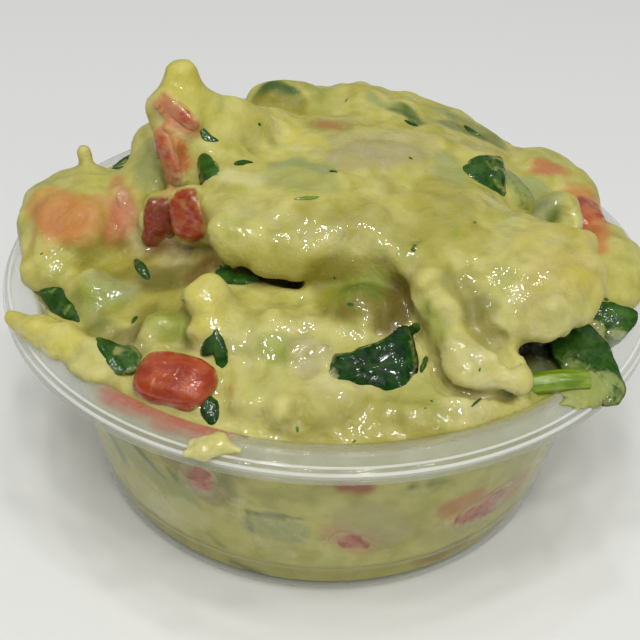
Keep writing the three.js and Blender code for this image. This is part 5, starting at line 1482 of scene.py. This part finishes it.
def blade(outline, size, at, along, facing, seed, film, sink, wiped=(), form=LEAF_BLADE):
    """A thin leaf on the mash. Its edge slips `sink` millimetres down into the mash."""
    rings, steps, lift, thickness = (form[key] for key in ("rings", "steps", "lift", "thickness"))
    length, width, arch = size
    edge = soft_outline(outline, steps, 1 if length < SMALL else 2)
    middle = edge.mean(0)
    torn = [layered_noise(np.c_[edge, np.zeros(steps)], 1.4, seed + n, 2) for n in (0, 1)]
    edge = edge + min(0.1, 0.04 * width) * np.stack(torn, 1)
    shares = np.arange(1, rings + 1) / rings
    flat = np.concatenate([[middle], (middle + shares[:, None, None] * (edge - middle)).reshape(-1, 2)])
    out = np.concatenate([[0], np.repeat(shares, steps)])
    bend = -arch * ((2 * flat[:, 0] / length) ** 2 + (2 * flat[:, 1] / width) ** 2) / 2
    spine = np.abs(flat[:, 1] - middle[1])
    branch = np.abs((flat[:, 0] - VEINS["slant"] * spine) % VEINS["apart"] - VEINS["apart"] / 2)
    branches = ramp(VEINS["branch"] - branch, 0, 0.2) * ramp(out, 0.1, 0.3)
    vein = np.maximum(ramp(VEINS["width"] - spine, 0, 0.22), 0.7 * branches)
    sheet = np.c_[flat, bend] @ axes_of(along, facing) + at
    waves = SETTLE["wave"] * layered_noise(sheet, 3.0, seed, 2)
    sheet = lying(sheet, lift + waves, rings, steps)
    _, ways, around = above_mash(sheet)
    depth = sink * out ** 4 * (1 + 0.8 * layered_noise(sheet, 2.0, seed + 3, 2))
    sheet = sheet - depth[:, None] * ways

    def index(ring, step):
        return 1 + ring * steps + step % steps

    top = [(0, index(0, n), index(0, n + 1)) for n in range(steps)]
    top += [(index(k, n), index(k + 1, n), index(k + 1, n + 1), index(k, n + 1))
            for k in range(rings - 1) for n in range(steps)]
    normals = np.zeros_like(sheet)
    for face in top:
        a, b, c = (sheet[face[n]] for n in (0, 1, 2))
        normals[list(face)] += np.cross(b - a, c - a)
    normals /= np.maximum(np.linalg.norm(normals, axis=1, keepdims=True), 1e-9)
    half = thickness / 2 * (1 - out ** 6)
    upper = sheet + (half - VEINS["depth"] * vein)[:, None] * normals
    inner = len(sheet) - steps
    lower = (sheet - half[:, None] * normals)[:inner]
    faces = top + [tuple(n if n >= inner else n + len(sheet) for n in face[::-1]) for face in top]
    coat = film + 0.5 * ramp(out, 0.7, 1.0) * (sink > EDGE_COAT)
    for x, y, radius, amount in wiped:
        coat = coat + amount * ramp(radius - np.hypot(flat[:, 0] - x, flat[:, 1] - y), -0.5, 0.5)
    coat, vein, around = (np.concatenate([data, data[:inner]]) for data in (coat, vein, around))
    return np.concatenate([upper, lower]), faces, coat, vein, around


# film of mash over each leaf, how deep its edge is sunk, and how dark it is
LEAF_LOOK = {
    "leaf_front": (0.0, 0.3, 1.0), "leaf_rim": (0.0, 0.35, 0.9), "leaf_knuckle": (0.05, 0.35, 0.8),
    "leaf_under_slab": (0.05, 0.3, 0.3), "leaf_pale": (0.0, 0.3, 0.6), "leaf_left": (0.0, 0.25, 0.7),
    "leaf_hollow": (0.2, 0.5, 0.7), "leaf_horn": (0.05, 0.45, 0.55), "leaf_fold": (0.1, 0.35, 0.6),
    "leaf_film": (0.85, 0.5, 0.2), "leaf_right": (0.05, 0.1, 0.5), "leaf_corner": (0.15, 0.1, 0.6),
    "leaf_back": (0.2, 0.35, 0.5), "leaf_back_left": (0.25, 0.35, 0.5), "leaf_back_right": (0.35, 0.35, 0.4),
}


def leaf_piece(name, parts, deep):
    """One piece of leaf from one or more blades."""
    points, faces, coat, vein, around = joined(parts)
    values = {"coat": coat, "vein": vein, "deep": np.full(len(points), deep)}
    piece = new_piece(name, points, faces, leaf_finish, {"around": around}, values)
    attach(piece, "root")
    return piece


for seed, (name, row) in enumerate(LEAVES.items()):
    film, sink, deep = LEAF_LOOK[name]
    one_blade = blade(OUTLINES[name], *row, 200 + 5 * seed, film, sink, WIPED.get(name, ()))
    leaf = leaf_piece("torn_" + name, [one_blade], deep)
    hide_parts(name)
print("made", len(LEAVES), "leaves")

# %% [markdown]
# Chopped scraps of leaf are too small to have pieces of their own in the engineering model, where the
# larger ones stand out of the heap as flat grains. Here they share one piece of real leaf, and two
# shreds of stem share another.

# %% Scraps
# length, width, place, direction of the length
LEAF_SCRAPS = [
    (2.8, 1.4, (-13.5, -0.6, 40.8), (0.6, -0.2, -0.8)), (1.6, 1.2, (-24.8, 6, 33.2), (1, 0, 0)),
    (2.6, 0.7, (-9.5, -2.8, 38.6), (1, 0.6, 0)), (1.2, 0.7, (0, -4, 38.6), (0.7, -0.8, 0)),
    (2, 1.3, (9, 10.6, 37.9), (1, -0.4, 0)), (3, 1.3, (17, 14, 35.6), (1, -0.5, 0)),
    (1.8, 0.7, (9.3, -24.3, 29.5), (0.3, 0.6, 0.8)), (1.4, 0.7, (-19.7, -17.1, 28.6), (0.2, 1, 0)),
    (0.7, 0.5, (8.1, -15.3, 36.6), (0, 1, 0)), (1.6, 0.3, (14, -28.6, 28.4), (0.6, 0.6, 0.4)),
    (1.5, 0.3, (17, -27.4, 28.4), (-0.3, 0.6, 0.8)), (2.4, 1, (-12, 12, 36), (0.5, -0.8, 0)),
    (2.4, 1, (8, -21.6, 31.4), (0.1, 0.8, -0.6)), (1.4, 0.6, (31.2, 2.3, 30.4), (0.1, -1, 0)),
]
STEM_SCRAPS = [(3, 0.9, (-2.7, -9.4, 38.4), (1, 0.35, 0)), (1.5, 0.8, (-4, 19, 38), (1, 0.2, 0))]
SCRAP_SINK = 0.3
# three outlines for all of them, where 1 is half the length or half the width
SCRAP_OUTLINES = [
    [(-1.2, -0.4), (-0.6, 0.9), (0.3, 0.7), (1.3, 1), (0.8, -0.2), (0.2, -1)],
    [(-1.3, 0.3), (-0.2, 1), (1.1, 0.4), (1.2, -0.5), (-0.1, -0.6)],
    [(-1.1, -0.7), (-0.9, 0.8), (0.2, 1.1), (1.3, -0.2), (0.3, -0.4), (-0.3, -1.1)],
]


def scrap(length, width, place, along, seed, film):
    """A small blade that faces away from the mash under it."""
    _, (facing,), _ = above_mash(np.array([place], float))
    outline = [(x * length / 2, y * width / 2) for x, y in SCRAP_OUTLINES[seed % len(SCRAP_OUTLINES)]]
    return blade(outline, (length, width, 0), place, along, facing, seed, film, SCRAP_SINK, (), SCRAP_BLADE)


green_scraps = [scrap(*row, 600 + 7 * n, 0.05) for n, row in enumerate(LEAF_SCRAPS)]
leaf_piece("leaf_scraps", green_scraps, 0.6)
points, faces, *_ = joined([scrap(*row, 700 + 7 * n, 0) for n, row in enumerate(STEM_SCRAPS)])
stem_scraps = new_piece("stem_scraps", points, faces, stem_finish)
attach(stem_scraps, "root")
print("scattered", len(LEAF_SCRAPS), "scraps of leaf and", len(STEM_SCRAPS), "of stem")

# %% [markdown]
# Much finer flecks of herb are all through the mash. They follow a rule, so Geometry Nodes scatters
# them: points fall on the skin as densely as its `herbs` attribute allows, and each becomes a flat grain
# that lies along the skin and is turned and scaled at random.

# %% Herb flecks by Geometry Nodes
FLECKS = {
    "per_square_metre": 24000.0, "seed": 4, "size_seed": 7, "most_turn": (0.2, 0.2, 2 * math.pi),
    "least": (0.12, 0.08, 0.03), "most": (0.5, 0.24, 0.07),  # half its length, width and height, in mm
}

scatter, scatter_in, scatter_out = node_tree("herb_flecks", [
    ("Flecks per square metre", "NodeSocketFloat", FLECKS["per_square_metre"]),
    ("Seed", "NodeSocketInt", FLECKS["seed"]),
    ("Material", "NodeSocketMaterial", None),
])
skin, thickest, scatter_seed, green = (
    scatter_in.outputs[key] for key in ("Geometry", "Flecks per square metre", "Seed", "Material"))
vectors = {"data_type": "FLOAT_VECTOR"}
herbs = node(scatter, "GeometryNodeInputNamedAttribute", {"data_type": "FLOAT"}, Name="herbs")
density = calculated(scatter, "MULTIPLY", herbs.outputs["Attribute"], thickest)
spots = node(scatter, "GeometryNodeDistributePointsOnFaces", Mesh=skin, Density=density, Seed=scatter_seed)
grain = node(scatter, "GeometryNodeMeshIcoSphere", Radius=MM, Subdivisions=1)
spin = node(scatter, "FunctionNodeRandomValue", vectors, n0=(0, 0, 0), n1=FLECKS["most_turn"],
            Seed=scatter_seed)
spun = node(scatter, "FunctionNodeRotateRotation", {"rotation_space": "LOCAL"},
            Rotation=spots.outputs["Rotation"], Rotate_By=spin.outputs[0])
sizes = node(scatter, "FunctionNodeRandomValue", vectors, n0=FLECKS["least"], n1=FLECKS["most"],
             Seed=FLECKS["size_seed"])
flecks = node(scatter, "GeometryNodeInstanceOnPoints", Points=spots.outputs["Points"],
              Instance=grain.outputs["Mesh"], Rotation=spun.outputs[0], Scale=sizes.outputs[0])
real_flecks = node(scatter, "GeometryNodeRealizeInstances", Geometry=flecks.outputs[0])
green_flecks = node(scatter, "GeometryNodeSetMaterial", Geometry=real_flecks.outputs[0], Material=green)
scatter.links.new(green_flecks.outputs[0], scatter_out.inputs["Geometry"])

herbs_here = free * ramp(layered_noise(mash_points, 8, 81, 2), -0.3, 0.6)
flecks_piece = new_piece("herb_flecks", mash_points, mash_faces, leaf_finish, values={"herbs": herbs_here})
grown(flecks_piece, scatter, {
    "Flecks per square metre": FLECKS["per_square_metre"], "Seed": FLECKS["seed"], "Material": leaf_finish,
})
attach(flecks_piece, "root")
print("the flecks have", len(flecks_piece.data.polygons), "faces")

# %% [markdown]
# ## The stem
#
# A cut length of coriander stem is a slightly bent rod with shallow grooves. Rings of points along its
# axis make it, and both ends close in a soft dome.

# %% Stem
ROD = {"grooves": 9, "groove_depth": 0.035, "bend": 0.25, "dome_from": 0.88, "steps": 40, "rings": 48}


def rod(size, at, along, facing):
    """Points and faces of a bent rod. Its length runs from -1 to 1."""
    (length, width), steps, rings = size, ROD["steps"], ROD["rings"]
    axes = axes_of(along, facing)
    points, faces = [], []
    for ring in range(rings + 1):
        share = 2 * ring / rings - 1
        into_dome = max((abs(share) - ROD["dome_from"]) / (1 - ROD["dome_from"]), 0)
        inset = math.sqrt(max(1 - into_dome ** 2, 0.0))
        for step in range(steps):
            angle = 2 * math.pi * step / steps
            groove = 1 - ROD["groove_depth"] * math.cos(ROD["grooves"] * angle + 0.4 * share)
            radius = width / 2 * max(inset, 0.02) * groove * (1 + 0.05 * math.sin(3 * share + 1))
            points.append((share * length / 2, radius * math.cos(angle),
                           radius * math.sin(angle) - ROD["bend"] * share * share))
    for ring in range(rings):
        for step in range(steps):
            a, b = ring * steps + step, ring * steps + (step + 1) % steps
            faces.append((a, b, b + steps, a + steps))
    faces.append(tuple(range(steps))[::-1])
    faces.append(tuple(range(rings * steps, rings * steps + steps)))
    return np.array(points) @ axes + at, faces


points, faces = rod(*STEM)
stem = new_piece("cut_stem", points, faces, stem_finish)
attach(stem, "root")
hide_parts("stem")
print("the stem is", STEM[0][0], "mm long and has", len(faces), "faces")

# %% [markdown]
# ## On the rim
#
# Spooning leaves traces: a dab of mash on the flange, pink tomato juice beside it, and a thin wet film
# where the mash meets the plastic. A film is a strip that follows the cup's own outline, about a tenth
# of a millimetre thick. Its material lets the plastic show through, most of all near its edges.

# %% Films on the flange
def film_material(name, tint, strongest):
    look = Shading(name)
    streaks = look.between(look.noise(0.7, 3.0, 0.5), 0.3, 0.7, 0.6, 1.1)
    cover = look.times(look.times(look.carried("cover"), streaks), strongest)
    relief = look.bumped(look.noise(1.2, 2.0, 0.8), 0.15)
    return look.finished(look.over_clear(cover, look.surface(
        Base_Color=tint, Roughness=0.3, IOR=1.4, Normal=relief)))


STRIP = {"long": 60, "wide": 10, "off": 0.02, "least": 0.03, "thick": 0.1}  # steps, then millimetres


def film_strip(azimuths, radii, seed):
    """A thin closed strip on the cup's inner face, from one azimuth and radius to another."""
    long, wide = STRIP["long"], STRIP["wide"]
    u, v = (part.ravel() for part in np.mgrid[0:1:(long + 1) * 1j, 0:1:(wide + 1) * 1j])
    turn = np.radians(azimuths[0] + u * (azimuths[1] - azimuths[0]))
    radius = radii[0] + v * (radii[1] - radii[0])
    height = np.interp(radius, inside_radii, inside_heights)
    edge = np.minimum(np.minimum(u, 1 - u) * 3, np.minimum(v, 1 - v) * 2)
    ground = np.stack([radius * np.cos(turn), radius * np.sin(turn), height], 1)
    cover = ramp(edge + 0.4 * layered_noise(ground, 4.0, seed, 3), 0, 1) * ramp(edge, 0, 0.4)
    thickness = STRIP["least"] + STRIP["thick"] * ramp(edge, 0, 0.5)
    bottom, top = ground + (0, 0, STRIP["off"]), ground + np.c_[np.zeros((len(ground), 2)), thickness]
    count, row = len(ground), wide + 1
    faces = []
    for i, j in itertools.product(range(long), range(wide)):
        a = i * row + j
        face = (a, a + row, a + row + 1, a + 1)
        faces += [face, tuple(n + count for n in (face[0], *face[:0:-1]))]
    border = [i * row for i in range(long)] + [long * row + j for j in range(wide)]
    border += [i * row + wide for i in range(long, 0, -1)] + list(range(wide, 0, -1))
    for a, b in zip(border, border[1:] + border[:1]):
        faces.append((b, a, a + count, b + count))
    return np.concatenate([top, bottom]), faces, np.concatenate([cover, cover])


# azimuths in degrees, radii, tint, greatest share of it, and slot
FILMS = {
    "juice_film": ((-132, -102), (32, 35.6), colour(196, 104, 88), 0.55, "tomato"),
    "mash_film": ((-104, -28), (31.9, 33.9), colour(178, 172, 104), 0.7, "guacamole"),
    "mash_film_left": ((-170, -128), (31.9, 33.6), colour(178, 172, 104), 0.6, "guacamole"),
}
for seed, (name, (azimuths, radii, tint, strongest, slot)) in enumerate(FILMS.items()):
    points, faces, cover = film_strip(azimuths, radii, 800 + seed)
    piece = new_piece(name, points, faces, film_material(name, tint, strongest), values={"cover": cover})
    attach(piece, "root")
print("made", len(FILMS), "films on the flange")

# %% [markdown]
# The dab on the flange is made like the heap, from a ridge and two lumps that flow together and are
# roughened by noise. Its grid is finer, because it is so small.

# %% Smear on the rim
SMEAR = [
    ridge((-12.4, -34.9, 26.4, 0.4), (-10.8, -34.6, 26.6, 0.9), (-9.4, -34, 26.6, 0.8),
          (-7.8, -34.2, 26.4, 0.35)),
    lump(-11.2, -33.8, 26.5, 1.2, 0.8, 0.7), lump(-9.6, -33.2, 26.6, 0.9, 0.8, 0.6),
]
SMEAR_CELL, SMEAR_BLEND, SMEAR_ROUGH, SMEAR_OFF = 0.16, 0.6, 0.22, 0.02  # millimetres
SMEAR_BOX = np.array((-14, -36.8, 24.6)), np.array((-6.4, -31.6, 28.4))
SMEAR_COLOUR, SMEAR_WET = colour(205, 198, 130), 0.7


def smear_distance(points):
    total = np.full(len(points), FAR)
    for part in SMEAR:
        total = blended(total, part(points), SMEAR_BLEND)
    total = total + SMEAR_ROUGH * layered_noise(points, 1.6, 91, 2)
    return np.maximum(total, room_distance(points) + SMEAR_OFF)


smear_points, smear_faces = surface_net(smear_distance, *SMEAR_BOX, SMEAR_CELL)
smear_paint = np.tile(SMEAR_COLOUR, (len(smear_points), 1))
smear = new_piece("smear_on_rim", smear_points, smear_faces, mash_finish, {"paint": smear_paint},
                  {"wet": np.full(len(smear_points), SMEAR_WET)})
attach(smear, "root")
print("the smear has", len(smear_faces), "faces")

# %% [markdown]
# ## Floor and light
#
# The floor is plain and pale, and is larger than anything the camera can see of it. It lies a hair
# below the cup, so that the two never share one plane, which would leave dark marks at the foot.

# %% Floor
look = Shading("pale_floor")
tone = look.mixed(look.noise(0.004), colour(228, 228, 225), colour(232, 232, 229))
floor_finish = look.finished(look.surface(Base_Color=tone, Roughness=0.6))

FLOOR_SIZE, FLOOR_DROP = 1600, 0.05  # millimetres
CORNER_SIGNS = ((-1, -1), (1, -1), (1, 1), (-1, 1))
floor_points = [(x * FLOOR_SIZE / 2, y * FLOOR_SIZE / 2, -FLOOR_DROP) for x, y in CORNER_SIGNS]
floor = new_piece("floor", floor_points, [(0, 1, 2, 3)], floor_finish)
print("the floor is", FLOOR_SIZE, "mm wide")

# %% [markdown]
# Soft daylight comes from all round: a pale sky that is brightest overhead, and a wide sun in front and
# to the right that stands for a window. Eight small lamps high above the cup give most of the light
# from the top, and each wet bead of the food mirrors them as a small sharp glint.

# %% Lights
LAMPS = [(-60, -180, 830), (110, -100, 860), (-230, -270, 760), (100, -370, 750), (-110, 30, 900),
         (300, -240, 750), (-170, -480, 640), (150, -510, 630)]
LAMP = {"size": 64, "power": 0.62, "aimed_at": (0, 0, 25)}  # millimetres and watts
WINDOW = {"towards": (0.5, -0.85, 0.9), "width": 50, "strength": 0.28}  # the width is in degrees
SKY = {"horizon": 0.2, "top": 0.36, "colour": (0.95, 0.97, 1.0, 1)}


def new_light(name, kind, energy, turn, place=(0, 0, 0)):
    light = bpy.data.objects.new(name, bpy.data.lights.new(name, kind))
    light.data.energy = energy
    light.location = place
    light.rotation_euler = turn.to_euler()
    bpy.context.scene.collection.objects.link(light)
    return light.data


window = new_light("window", "SUN", WINDOW["strength"], Vector(WINDOW["towards"]).to_track_quat("Z", "Y"))
window.angle = math.radians(WINDOW["width"])
aim = Vector(LAMP["aimed_at"]) * MM
for n, place in enumerate(LAMPS):
    place = Vector(place) * MM
    lamp = new_light(f"lamp_{n}", "AREA", LAMP["power"], (aim - place).to_track_quat("-Z", "Y"), place)
    lamp.shape, lamp.size = "DISK", LAMP["size"] * MM

world = bpy.data.worlds.new("studio")
world.use_nodes = True
sky = world.node_tree
direction = node(sky, "ShaderNodeTexCoord").outputs["Generated"]
height = node(sky, "ShaderNodeSeparateXYZ", Vector=direction).outputs["Z"]
brightness = node(sky, "ShaderNodeMapRange", Value=height, From_Min=0.0, From_Max=1.0,
                  To_Min=SKY["horizon"], To_Max=SKY["top"])
sky.links.new(brightness.outputs["Result"], sky.nodes["Background"].inputs["Strength"])
sky.nodes["Background"].inputs["Color"].default_value = SKY["colour"]
bpy.context.scene.world = world
bpy.context.scene.view_settings.view_transform = "Standard"
print(len(LAMPS), "lamps, a window and a sky")
